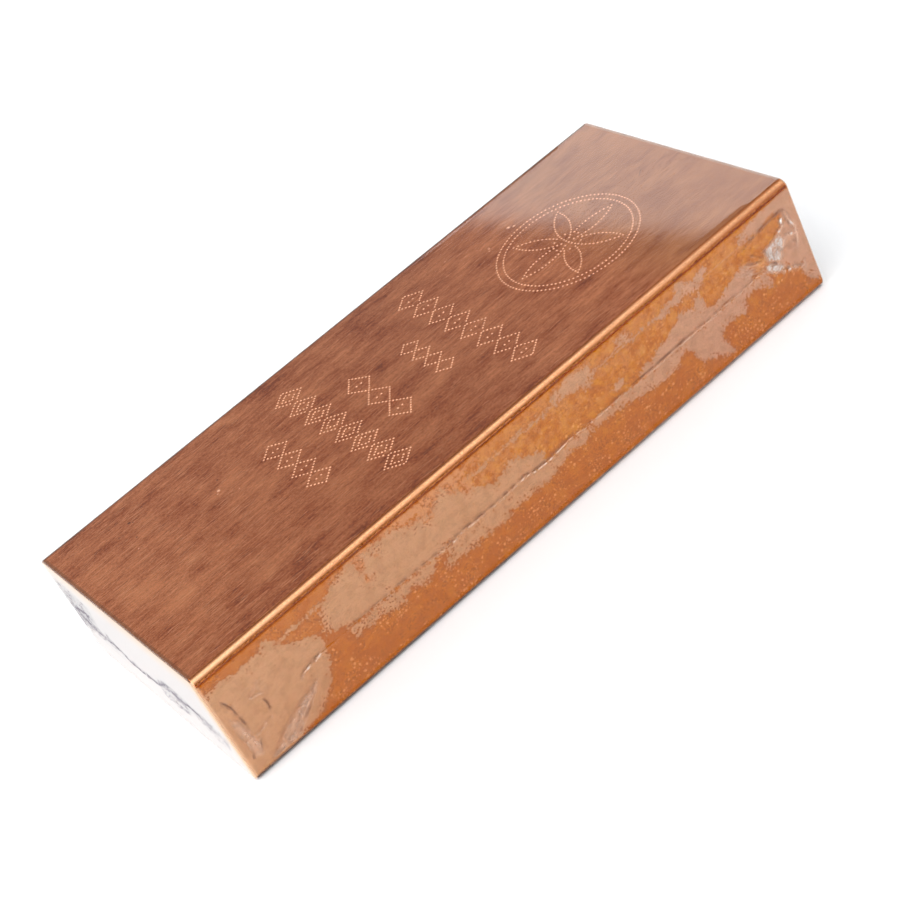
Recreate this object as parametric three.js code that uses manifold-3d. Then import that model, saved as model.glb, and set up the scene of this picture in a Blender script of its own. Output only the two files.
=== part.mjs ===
// Copper ingot in clear shrink film.
//
// A length of flat copper bar with rolled (rounded) long edges and square cut
// ends, about one kilogram of fine copper, shrink-wrapped in clear film. The
// film was closed on three sides: its seam runs at mid height round the long
// front side (-Y) and both ends, the back side (+Y) is the fold, and the spare
// film gathers into flattened ears where the seam turns a corner.
//
// Units are millimetres, +Z up. The bar lies along X. The origin is the middle
// of the footprint, on the surface that the wrapped bar rests on.

import * as THREE from "three";
import { mergeVertices } from "three/addons/utils/BufferGeometryUtils.js";
import Module from "manifold-3d";

const wasm = await Module();
wasm.setup();

// ---- Driving dimensions -----------------------------------------------------

const BAR_LENGTH = 114.0; // along X, between the cut ends
const BAR_WIDTH = 49.0; // along Y
const BAR_HEIGHT = 20.0; // along Z
const EDGE_RADIUS = 1.2; // the four rolled long edges
const EDGE_STEPS = 10; // facets round each rolled edge
const END_CHAMFER = 0.2; // the broken arris round each cut end

const FILM_GAP = 0.05; // air between bar and film
const FILM_WALL = 0.05; // film thickness
const FILM_ARRIS = 0.12; // how far the film pulls in over the arris at the ends

const SEAM_WIDTH = 0.6; // the welded bead, across
const SEAM_PROUD = 0.2; // and how far it stands off the film
const SEAM_Z_FRONT = 9.6; // its height on the long front side
const SEAM_Z_END = 7.6; // its height on the two cut ends
const EAR_PROUD = 0.14; // thickness of the flattened ears

const VENT_RADIUS = 1.5; // air holes punched in the underside of the film
const VENTS = [
  [38, 12],
  [-38, 12],
];

// ---- Geometry helpers ---------------------------------------------------------

/** A rectangle w by h centred on (0, mid) with rounded corners, as points. */
function roundedSection(w, h, mid, radius, steps) {
  const points = [];
  const corners = [
    [w / 2 - radius, mid + h / 2 - radius, 0],
    [-w / 2 + radius, mid + h / 2 - radius, Math.PI / 2],
    [-w / 2 + radius, mid - h / 2 + radius, Math.PI],
    [w / 2 - radius, mid - h / 2 + radius, (3 * Math.PI) / 2],
  ];
  for (const [cx, cy, start] of corners) {
    for (let i = 0; i <= steps; i++) {
      const a = start + (i / steps) * (Math.PI / 2);
      points.push(new THREE.Vector2(cx + radius * Math.cos(a), cy + radius * Math.sin(a)));
    }
  }
  return points;
}

/** Turns an extrusion along +Z into one along +X: its (x, y, z) becomes (z, x, y). */
const ALONG_X = new THREE.Matrix4().set(0, 0, 1, 0, 1, 0, 0, 0, 0, 1, 0, 0, 0, 0, 0, 1);

/** A bar of the given (y, z) section, centred on x = 0, with chamfered ends. */
function barAlongX(points, length, chamfer) {
  const geometry = new THREE.ExtrudeGeometry(new THREE.Shape(points), {
    depth: length - 2 * chamfer,
    bevelEnabled: true,
    bevelThickness: chamfer,
    bevelSize: chamfer,
    bevelOffset: -chamfer,
    bevelSegments: 1,
    steps: 1,
  });
  geometry.translate(0, 0, -(length - 2 * chamfer) / 2);
  geometry.applyMatrix4(ALONG_X);
  return geometry;
}

/** Only positions, with shared vertices merged. */
function welded(geometry) {
  const g = geometry.clone();
  for (const name of Object.keys(g.attributes)) {
    if (name !== "position") g.deleteAttribute(name);
  }
  return mergeVertices(g, 1e-5);
}

function solidOf(geometry) {
  const g = welded(geometry);
  return new wasm.Manifold(
    new wasm.Mesh({
      numProp: 3,
      vertProperties: new Float32Array(g.attributes.position.array),
      triVerts: new Uint32Array(g.index.array),
    }),
  );
}

function geometryOf(solid) {
  const mesh = solid.getMesh();
  const g = new THREE.BufferGeometry();
  g.setAttribute("position", new THREE.BufferAttribute(new Float32Array(mesh.vertProperties), 3));
  g.setIndex(new THREE.BufferAttribute(new Uint32Array(mesh.triVerts), 1));
  g.computeVertexNormals();
  return g;
}

/**
 * A flat plate on one upright side of the bar. outline is a list of [along, z];
 * it is extruded outwards from depth `from` to depth `to`, measured from the
 * middle of the bar. side is "front" (-Y), "near" (-X) or "far" (+X).
 */
function plateOn(side, outline, from, to) {
  const geometry = new THREE.ExtrudeGeometry(
    new THREE.Shape(outline.map(([u, z]) => new THREE.Vector2(u, z))),
    { depth: to - from, bevelEnabled: false, steps: 1 },
  );
  geometry.translate(0, 0, from);
  const m = new THREE.Matrix4();
  if (side === "front") {
    // (u, z, out) -> (x = u, y = -out, z = z)
    m.set(1, 0, 0, 0, 0, 0, -1, 0, 0, 1, 0, 0, 0, 0, 0, 1);
  } else if (side === "far") {
    // (u, z, out) -> (x = out, y = u, z = z)
    m.set(0, 0, 1, 0, 1, 0, 0, 0, 0, 1, 0, 0, 0, 0, 0, 1);
  } else {
    // near: (u, z, out) -> (x = -out, y = -u, z = z)
    m.set(0, 0, -1, 0, -1, 0, 0, 0, 0, 1, 0, 0, 0, 0, 0, 1);
  }
  geometry.applyMatrix4(m);
  return solidOf(geometry);
}

/** The outline of a bead that follows a line of [along, z] points. */
function beadOutline(line, width) {
  const up = line.map(([u, z]) => [u, z + width / 2]);
  const down = line.map(([u, z]) => [u, z - width / 2]);
  return [...down, ...up.reverse()];
}

// ---- The bar --------------------------------------------------------------------

const skin = FILM_GAP + FILM_WALL;
const barMid = skin + BAR_HEIGHT / 2; // the film's underside is at z = 0
const barGeometry = barAlongX(
  roundedSection(BAR_WIDTH, BAR_HEIGHT, barMid, EDGE_RADIUS, EDGE_STEPS),
  BAR_LENGTH,
  END_CHAMFER,
);

// ---- The film -------------------------------------------------------------------

function shellSurface(offset) {
  return solidOf(
    barAlongX(
      roundedSection(
        BAR_WIDTH + 2 * offset,
        BAR_HEIGHT + 2 * offset,
        barMid,
        EDGE_RADIUS + offset,
        EDGE_STEPS,
      ),
      BAR_LENGTH + 2 * offset,
      FILM_ARRIS,
    ),
  );
}

const inside = shellSurface(FILM_GAP);
let film = shellSurface(skin);

const halfLength = BAR_LENGTH / 2 + skin;
const halfWidth = BAR_WIDTH / 2 + skin;
const root = FILM_WALL / 2; // how deep the bead and ears start inside the wall

// The seam on the long front side, straight but for a slight waver.
const frontSeam = [
  [-52, SEAM_Z_FRONT - 2.6],
  [-46, SEAM_Z_FRONT - 0.4],
  [-42, SEAM_Z_FRONT + 0.2],
  [-20, SEAM_Z_FRONT + 0.05],
  [4, SEAM_Z_FRONT - 0.15],
  [24, SEAM_Z_FRONT + 0.1],
  [44, SEAM_Z_FRONT],
  [49, SEAM_Z_FRONT - 0.3],
];
film = film.add(
  plateOn("front", beadOutline(frontSeam, SEAM_WIDTH), halfWidth - root, halfWidth + SEAM_PROUD),
);

// The seam on the cut ends, which sags towards the middle.
const endSeam = [
  [-21, SEAM_Z_END + 1.2],
  [-12, SEAM_Z_END],
  [0, SEAM_Z_END - 0.6],
  [12, SEAM_Z_END - 0.4],
  [20, SEAM_Z_END + 0.8],
];
for (const side of ["near", "far"]) {
  film = film.add(
    plateOn(side, beadOutline(endSeam, SEAM_WIDTH), halfLength - root, halfLength + SEAM_PROUD),
  );
}

// The ears: film gathered at the corners and shrunk flat against the sides.
const nearEar = [
  [-41.5, 9.9],
  [-47, 7.6],
  [-52.5, 1.6],
  [-47.6, 1.4],
  [-44.5, 5.2],
];
const farEar = [
  [47.5, 9.2],
  [50.5, 7.2],
  [55, 5.4],
  [55.6, 9.6],
  [54.6, 15.4],
  [51, 15.8],
  [49.2, 12.6],
];
for (const outline of [nearEar, farEar]) {
  film = film.add(plateOn("front", outline, halfWidth - root, halfWidth + EAR_PROUD));
}
const endEar = [
  [17.5, SEAM_Z_END - 1.6],
  [21.6, SEAM_Z_END - 2.8],
  [22.8, SEAM_Z_END + 3.2],
  [19.6, SEAM_Z_END + 4.6],
  [16.4, SEAM_Z_END + 1.4],
];
film = film.add(
  plateOn("far", endEar, halfLength - root, halfLength + EAR_PROUD),
);
film = film.add(
  plateOn(
    "near",
    endEar.map(([u, z]) => [-u, z]).reverse(),
    halfLength - root,
    halfLength + EAR_PROUD,
  ),
);

// Hollow it round the bar, and punch the air holes through the underside.
film = film.subtract(inside);
for (const [x, y] of VENTS) {
  const punch = new THREE.CylinderGeometry(VENT_RADIUS, VENT_RADIUS, 4 * skin, 32);
  punch.rotateX(Math.PI / 2);
  punch.translate(x, y, 0);
  film = film.subtract(solidOf(punch));
}

// ---- The part -------------------------------------------------------------------

const copper = new THREE.MeshStandardMaterial({
  name: "brushed_copper",
  color: new THREE.Color(0.62, 0.36, 0.25),
  roughness: 0.38,
  metalness: 1.0,
});
const clearFilm = new THREE.MeshStandardMaterial({
  name: "clear_film",
  color: new THREE.Color(0.93, 0.92, 0.91),
  roughness: 0.12,
  metalness: 0.0,
  transparent: true,
  opacity: 0.25,
});

const ingot = new THREE.Mesh(barGeometry, copper);
ingot.name = "ingot";

const shrinkFilm = new THREE.Mesh(geometryOf(film), clearFilm);
shrinkFilm.name = "shrink_film";

const part = new THREE.Group();
part.name = "wrapped_ingot";
part.add(ingot, shrinkFilm);
// The bead stands off the front only, so the bar sits half a bead behind the middle.
part.position.y = SEAM_PROUD / 2;

export default part;
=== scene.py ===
import math

import bpy
import numpy as np
from mathutils import Matrix, Vector
from mathutils.geometry import delaunay_2d_cdt


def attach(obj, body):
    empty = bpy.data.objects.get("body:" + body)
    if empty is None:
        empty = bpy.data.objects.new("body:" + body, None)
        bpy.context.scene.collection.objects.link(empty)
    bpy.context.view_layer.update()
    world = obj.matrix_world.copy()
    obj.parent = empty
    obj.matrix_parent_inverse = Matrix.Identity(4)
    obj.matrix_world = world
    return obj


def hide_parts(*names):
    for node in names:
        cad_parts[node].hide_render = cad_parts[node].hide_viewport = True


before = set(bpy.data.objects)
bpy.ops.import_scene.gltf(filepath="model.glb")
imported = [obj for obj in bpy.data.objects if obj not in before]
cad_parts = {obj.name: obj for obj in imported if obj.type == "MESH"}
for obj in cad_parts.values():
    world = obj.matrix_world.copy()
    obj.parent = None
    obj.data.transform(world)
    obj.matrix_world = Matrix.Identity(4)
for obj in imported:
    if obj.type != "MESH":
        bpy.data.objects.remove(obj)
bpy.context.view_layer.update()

# ---------------------------------------------------------------------------
# Sizes, in millimetres. The bar stands 0.1 mm up, on its film.
# ---------------------------------------------------------------------------
BAR_L, BAR_W, BAR_H = 114.0, 49.0, 20.0
EDGE_R = 1.2
END_CHAMFER = 0.2
SKIN = 0.1            # film outside the bar: 0.05 of air and 0.05 of film
SHIFT_Y = 0.1         # the bar sits this far behind the middle of the footprint
Z0, Z1 = SKIN, SKIN + BAR_H
HL, HW = BAR_L / 2, BAR_W / 2

TOP, BOTTOM, FRONT, BACK, NEAR, FAR, ROLL, ARRIS, FOOT = range(9)  # ROLL and FOOT are the upper and lower long edges

# (u, v, outward) of each flat side
AXES = {
    TOP: ((1, 0, 0), (0, 1, 0), (0, 0, 1)),
    BOTTOM: ((1, 0, 0), (0, -1, 0), (0, 0, -1)),
    FRONT: ((1, 0, 0), (0, 0, 1), (0, -1, 0)),
    BACK: ((-1, 0, 0), (0, 0, 1), (0, 1, 0)),
    FAR: ((0, 1, 0), (0, 0, 1), (1, 0, 0)),
    NEAR: ((0, -1, 0), (0, 0, 1), (-1, 0, 0)),
}


# ---------------------------------------------------------------------------
# Noise in numpy, seeded, for shapes
# ---------------------------------------------------------------------------
def _hash(ix, iy, seed):
    h = (ix.astype(np.int64) * 374761393 + iy.astype(np.int64) * 668265263 + seed * 1442695041) & 0xFFFFFFFF
    h = ((h ^ (h >> 13)) * 1274126177) & 0xFFFFFFFF
    return ((h ^ (h >> 16)) & 0xFFFFFF) / float(0xFFFFFF)


def vnoise(x, y, seed=0):
    """Smooth value noise in -1..1."""
    ix, iy = np.floor(x), np.floor(y)
    fx, fy = x - ix, y - iy
    fx, fy = fx * fx * (3 - 2 * fx), fy * fy * (3 - 2 * fy)
    a, b = _hash(ix, iy, seed), _hash(ix + 1, iy, seed)
    c, d = _hash(ix, iy + 1, seed), _hash(ix + 1, iy + 1, seed)
    return 2 * (a + (b - a) * fx + (c - a) * fy + (a - b - c + d) * fx * fy) - 1


def fbm(x, y, seed=0, octaves=4):
    total, amp = 0.0, 0.5
    for k in range(octaves):
        total = total + amp * vnoise(x * 2**k + 17.3 * k, y * 2**k - 9.1 * k, seed + k)
        amp *= 0.5
    return total


def step(a, b, x):
    t = np.clip((x - a) / (b - a), 0, 1)
    return t * t * (3 - 2 * t)


# ---------------------------------------------------------------------------
# A rounded box as strips round its edges and six open regions to be filled
# ---------------------------------------------------------------------------
class Shape:
    def __init__(self):
        self.v, self.faces, self.side = [], [], []

    def add(self, p):
        self.v.append(p)
        return len(self.v) - 1

    def face(self, ids, side):
        self.faces.append(tuple(ids))
        self.side.append(side)


def rounded_box(s, length, width, z0, z1, r, e, xs, ys, zs, nq, ne):
    """Rolled edges of radius r along X, ends rounded by e. Returns {side: boundary}, each an anticlockwise list of vertices as seen from outside."""
    hw, hl = width / 2, length / 2
    loop, nrm, spans = [], [], {}

    def straight(name, pts, n):
        a = len(loop)
        for p in pts:
            loop.append(p)
            nrm.append(n)
        spans[name] = (a, len(loop) - 1)

    def arc(cy, cz, start):
        for i in range(1, nq):
            a = start + (math.pi / 2) * i / nq
            loop.append((cy + r * math.cos(a), cz + r * math.sin(a)))
            nrm.append((math.cos(a), math.sin(a)))

    straight(BOTTOM, [(y, z0) for y in ys], (0, -1))
    arc(hw - r, z0 + r, -math.pi / 2)
    straight(BACK, [(hw, z) for z in zs], (1, 0))
    arc(hw - r, z1 - r, 0)
    straight(TOP, [(y, z1) for y in ys[::-1]], (0, 1))
    arc(-hw + r, z1 - r, math.pi / 2)
    straight(FRONT, [(-hw, z) for z in zs[::-1]], (-1, 0))
    arc(-hw + r, z0 + r, math.pi)
    n = len(loop)
    rolls = [
        [j % n for j in range(spans[BOTTOM][1], spans[BACK][0] + 1)],
        [j % n for j in range(spans[BACK][1], spans[TOP][0] + 1)],
        [j % n for j in range(spans[TOP][1], spans[FRONT][0] + 1)],
        [j % n for j in range(spans[FRONT][1], n + 1)],
    ]
    xs = [x for x in xs if abs(x) < hl - e - 0.2]
    xs = [-(hl - e), -(hl - e) + 0.12] + xs + [hl - e - 0.12, hl - e]
    rows = []
    for i, x in enumerate(xs):
        row = {}
        every = i in (0, len(xs) - 1)
        for j in range(n) if every else sorted({j for roll in rolls for j in roll}):
            row[j] = s.add((x, loop[j][0], loop[j][1]))
        rows.append(row)
    for i in range(len(xs) - 1):
        for roll, part in zip(rolls, (FOOT, ROLL, ROLL, FOOT)):
            for j, k in zip(roll, roll[1:]):
                s.face((rows[i][j], rows[i][k], rows[i + 1][k], rows[i + 1][j]), part)
    caps = {}
    for side, sign, row in ((NEAR, -1, rows[0]), (FAR, 1, rows[-1])):
        last = row
        for k in range(1, ne + 1):
            a = (math.pi / 2) * k / ne
            inset = e * (1 - math.cos(a)) if ne > 1 else e
            x = sign * (hl - e + (e * math.sin(a) if ne > 1 else e))
            ring = {j: s.add((x, loop[j][0] - nrm[j][0] * inset, loop[j][1] - nrm[j][1] * inset)) for j in range(n)}
            for j in range(n):
                q = (j + 1) % n
                if sign > 0:
                    s.face((last[j], last[q], ring[q], ring[j]), ARRIS)
                else:
                    s.face((last[j], ring[j], ring[q], last[q]), ARRIS)
            last = ring
        ids = [last[j] for j in range(n)]
        caps[side] = ids if sign > 0 else ids[::-1]

    def edge(j):
        return [row[j] for row in rows]

    def across(name, row):
        a, b = spans[name]
        return [row[j] for j in range(a, b + 1)]

    out = dict(caps)
    for name in (TOP, BOTTOM, FRONT, BACK):
        a, b = spans[name]
        low, high = edge(a), edge(b)  # along +X at the span's start and end
        # anticlockwise from outside: along +X at the end of the span, back at its start
        ring = high + across(name, rows[-1])[::-1][1:-1] + low[::-1] + across(name, rows[0])[1:-1]
        out[name] = ring
    return out


def to_uv(side, p):
    u, v, _ = (np.array(a, float) for a in AXES[side])
    p = np.asarray(p, float)
    return np.stack([p @ u, p @ v], -1)


def from_uv(side, uv, out):
    u, v, n = (np.array(a, float) for a in AXES[side])
    uv = np.asarray(uv, float)
    return uv[..., :1] * u + uv[..., 1:2] * v + np.asarray(out, float)[..., None] * n


def fill(s, side, boundary, inner, out, holes=(), relief=None):
    """Fills a side with triangles through the inner points (an array of (u, v)). holes are (centre uv, radius, ring of vertices)."""
    base = np.array([s.v[i] for i in boundary], float)
    b2 = to_uv(side, base)
    # the ring may run either way: make it anticlockwise
    x, y = b2[:, 0], b2[:, 1]
    if np.sum(x * np.roll(y, -1) - y * np.roll(x, -1)) < 0:
        boundary = list(boundary)[::-1]
        b2 = b2[::-1]
    ids = list(boundary)
    pts = [tuple(p) for p in b2]
    edges = [(i, (i + 1) % len(boundary)) for i in range(len(boundary))]
    for centre, radius, ring in holes:
        a = len(pts)
        ruv = to_uv(side, [s.v[i] for i in ring])
        pts += [tuple(p) for p in ruv]
        ids += list(ring)
        edges += [(a + k, a + (k + 1) % len(ring)) for k in range(len(ring))]
    if len(inner):
        lift = out if relief is None else out + relief(inner)
        pos = from_uv(side, inner, np.broadcast_to(lift, (len(inner),)))
        for p, q in zip(inner, pos):
            ids.append(s.add(tuple(q)))
            pts.append(tuple(p))
    co, _, tris, orig, _, _ = delaunay_2d_cdt([Vector(p) for p in pts], edges, [], 0, 1e-6)
    back = []
    for k, o in enumerate(orig):
        if o:
            back.append(ids[o[0]])
        else:
            q = from_uv(side, np.array([[co[k].x, co[k].y]]), np.array([float(out)]))[0]
            back.append(s.add(tuple(q)))
    hc = np.array([h[0] for h in holes], float) if holes else None
    hr = np.array([h[1] for h in holes], float) if holes else None
    c2 = np.array([[p.x, p.y] for p in co])
    T = np.array([t for t in tris], int)
    mid = c2[T].mean(1)
    keep = np.ones(len(T), bool)
    if hc is not None:
        for a in range(0, len(T), 4000):
            d = np.linalg.norm(mid[a : a + 4000, None] - hc[None], axis=2)
            keep[a : a + 4000] = ~(d < hr[None] * 0.99).any(1)
    area = np.cross(c2[T[:, 1]] - c2[T[:, 0]], c2[T[:, 2]] - c2[T[:, 0]])
    for t, k, ar in zip(T, keep, area):
        if not k or abs(ar) < 1e-9:
            continue
        a, b, c = (back[i] for i in t)
        s.face((a, b, c) if ar > 0 else (a, c, b), side)


def grid(lo, hi, pitch, jitter=0.0, seed=0, margin=None):
    """Staggered points over a rectangle, kept off its border by half a pitch."""
    margin = pitch * 0.5 if margin is None else margin
    nx = max(1, int(round((hi[0] - lo[0] - 2 * margin) / pitch)))
    ny = max(1, int(round((hi[1] - lo[1] - 2 * margin) / (pitch * 0.87))))
    gx = np.linspace(lo[0] + margin, hi[0] - margin, nx + 1)
    gy = np.linspace(lo[1] + margin, hi[1] - margin, ny + 1)
    X, Y = np.meshgrid(gx, gy)
    X = X + (np.arange(ny + 1)[:, None] % 2) * pitch * 0.25 - pitch * 0.125
    p = np.stack([X.ravel(), Y.ravel()], 1)
    if jitter:
        p = p + np.random.default_rng(seed).uniform(-jitter, jitter, p.shape) * pitch
    return p


def spaced(lo, hi, pitch):
    n = max(1, int(round((hi - lo) / pitch)))
    return list(np.linspace(lo, hi, n + 1))


def thin_out(points, keep_off, distance):
    """Drops points that lie within distance of any of keep_off."""
    if not len(keep_off) or not len(points):
        return points
    ok = np.ones(len(points), bool)
    keep_off = np.asarray(keep_off, float)
    for a in range(0, len(points), 2000):
        d = np.linalg.norm(points[a : a + 2000, None] - keep_off[None], axis=2).min(1)
        ok[a : a + 2000] = d > distance
    return points[ok]


def build_object(name, s, materials, slot_of, smooth_sides=(ROLL, FOOT, ARRIS), shift=(0, SHIFT_Y, 0)):
    me = bpy.data.meshes.new(name)
    v = (np.array(s.v, float) + np.array(shift)) * 0.001
    me.from_pydata([tuple(p) for p in v], [], s.faces)
    for m in materials:
        me.materials.append(m)
    side = np.array(s.side)
    me.polygons.foreach_set("material_index", np.array([slot_of(k) for k in side], np.int32))
    me.polygons.foreach_set("use_smooth", np.isin(side, list(smooth_sides)))
    me.update()
    o = bpy.data.objects.new(name, me)
    bpy.context.scene.collection.objects.link(o)
    return o


# ---------------------------------------------------------------------------
# The dot-peened ornament on the upper face: a compass rosette in a double
# ring, and bands of lozenges, all made of single dots
# ---------------------------------------------------------------------------
def along(points, pitch, closed=False):
    p = np.array(points, float)
    if closed:
        p = np.vstack([p, p[:1]])
    seg = np.linalg.norm(np.diff(p, axis=0), axis=1)
    run = np.concatenate([[0], np.cumsum(seg)])
    n = max(2, int(round(run[-1] / pitch)))
    t = np.linspace(0, run[-1], n + 1)
    if closed:
        t = t[:-1]
    return np.stack([np.interp(t, run, p[:, k]) for k in (0, 1)], 1)


def circle(cx, cy, r, pitch, a0=0.0, a1=2 * math.pi):
    n = max(3, int(round(abs(a1 - a0) * r / pitch)))
    full = abs(abs(a1 - a0) - 2 * math.pi) < 1e-6
    t = np.linspace(a0, a1, n + 1)
    if full:
        t = t[:-1]
    return np.stack([cx + r * np.cos(t), cy + r * np.sin(t)], 1)


def ornament():
    dots = []
    cx, cy, R = 32.6, -0.3, 10.6
    dots.append(circle(cx, cy, R + 1.15, 0.70))
    dots.append(circle(cx, cy, R, 0.70))
    petal = R - 1.1
    for k in range(6):
        a = math.pi / 3 * k
        px, py = cx + petal * math.cos(a), cy + petal * math.sin(a)
        dots.append(circle(px, py, petal, 0.68, a + math.pi - math.pi / 3, a + math.pi + math.pi / 3))
    dots.append(circle(cx, cy, 2.3, 0.6))

    def lozenges(x, half, width, count, pitch, core=True, nested=False):
        step_y = 2 * half / count
        for i in range(count):
            y = -half + step_y * (i + 0.5)
            dots.append(
                along([(x - width / 2, y), (x, y - step_y / 2), (x + width / 2, y), (x, y + step_y / 2)], pitch, True)
            )
            if nested:
                dots.append(
                    along([(x - width / 4, y), (x, y - step_y / 4), (x + width / 4, y), (x, y + step_y / 4)], pitch, True)
                )
            elif core:
                dots.append(np.array([[x - 0.45, y], [x + 0.45, y]]))

    lozenges(11.4, 17.2, 5.0, 8, 0.6)
    lozenges(3.6, 6.4, 3.4, 4, 0.6, core=False)
    lozenges(-6.0, 8.6, 4.2, 3, 0.6)
    lozenges(-13.6, 17.6, 5.0, 8, 0.6, nested=True)
    lozenges(-22.2, 8.4, 4.4, 4, 0.6)
    p = np.vstack(dots)
    keep = []
    for q in p:  # where lines cross, one dot serves both
        if all((q[0] - k[0]) ** 2 + (q[1] - k[1]) ** 2 > 0.43**2 for k in keep):
            keep.append(q)
    p = np.array(keep)
    g = np.random.default_rng(11)
    return p + g.normal(0, 0.012, p.shape)


DOTS = ornament()
N_SEG = 10
# how far out and how high, from the rim of a dot to near its middle
DOT_RINGS = ((0.205, 0.0), (0.165, 0.012), (0.125, -0.012), (0.060, -0.060))
# nicks in the metal: (x, y, radius, light or dark); the light ones are bright metal with a painted glint
MARKS = [
    (-44.3, 16.4, 0.34, -1), (-43.85, 15.9, 0.16, -1), (-31.0, 10.2, 0.2, -1), (-45.3, 12.0, 0.16, -1),
    (-32.3, 7.7, 0.36, 1), (-32.8, 7.1, 0.2, 1), (31.2, 13.6, 0.42, 1), (31.9, 12.9, 0.34, 1), (26.0, 12.3, 0.24, 1), (25.6, 11.7, 0.16, 1),
    (20.6, 17.6, 0.18, 1), (-30.2, 4.6, 0.14, 1), (-46.5, 9.3, 0.16, 1),
    (49.55, 1.3, 0.10, -1), (49.78, 1.5, 0.11, -1), (50.02, 1.7, 0.11, -1), (50.27, 1.9, 0.11, -1), (50.51, 2.1, 0.10, -1), (50.76, 2.3, 0.09, -1),
]

bar = Shape()
xs = spaced(-HL, HL, 1.5)
ys = spaced(-HW + EDGE_R, HW - EDGE_R, 1.5)
zs = spaced(Z0 + EDGE_R, Z1 - EDGE_R, 0.8)
edges = rounded_box(bar, BAR_L, BAR_W, Z0, Z1, EDGE_R, END_CHAMFER, xs, ys, zs, 14, 1)

rings = []
# the dots and light nicks are bright metal with a painted glint
bright = {}  # vertices of the dots and nicks, 1 for bright metal and -1 for dark
g = np.random.default_rng(5)
stamps = [(x, y, DOT_RINGS[0][0], 0) for x, y in DOTS]
for cx, cy, r, kind in stamps + MARKS:
    k = g.uniform(0.9, 1.1)
    turn = g.uniform(0, 2 * math.pi)
    wobble = 0.0 if kind == 0 else 0.3
    ang = [turn + 2 * math.pi * i / N_SEG for i in range(N_SEG)]
    made = []
    for n, (rr, h) in enumerate(DOT_RINGS):
        q = r * rr / DOT_RINGS[0][0] * (1 if n == 0 else k)
        lift = h * k if kind == 0 else min(0.0, h * k) * (r / 0.4 + 0.4)
        out = [q * (1 - (g.uniform(0, wobble) if n else 0)) for _ in ang]
        made.append([bar.add((cx + o * math.cos(a), cy + o * math.sin(a), Z1 + lift)) for o, a in zip(out, ang)])
        if n:
            bright.update({i: kind or 1 for i in made[-1]})
    tip = bar.add((cx, cy, Z1 - (0.065 * k if kind == 0 else 0.03 + 0.1 * r)))
    bright[tip] = kind or 1
    for a, b in zip(made, made[1:]):
        for i in range(N_SEG):
            j = (i + 1) % N_SEG
            bar.face((a[i], a[j], b[j], b[i]), TOP)
    for i in range(N_SEG):
        bar.face((made[-1][i], made[-1][(i + 1) % N_SEG], tip), TOP)
    rings.append(((cx, cy), r, made[0]))

lo, hi = (-HL + END_CHAMFER, -HW + EDGE_R), (HL - END_CHAMFER, HW - EDGE_R)
inner = grid(lo, hi, 1.4)
inner = thin_out(inner, [r[0] for r in rings], 0.5)
fill(bar, TOP, edges[TOP], inner, Z1, holes=rings)
fill(bar, BOTTOM, edges[BOTTOM], grid((-HL + 0.2, -HW + EDGE_R), (HL - 0.2, HW - EDGE_R), 2.4), -Z0)
for side in (FRONT, BACK):
    fill(bar, side, edges[side], grid((-HL + 0.2, Z0 + EDGE_R), (HL - 0.2, Z1 - EDGE_R), 0.6 if side == FRONT else 1.0), HW)
for side in (NEAR, FAR):
    inner = grid((-HW + 0.4, Z0 + 0.4), (HW - 0.4, Z1 - 0.4), 1.1)
    inner = inner[(np.abs(inner[:, 0]) < HW - 1.4) | (np.abs(inner[:, 1] - (Z0 + Z1) / 2) < BAR_H / 2 - 1.4)]
    fill(bar, side, edges[side], inner, HL)
print("bar faces", len(bar.faces))


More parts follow.
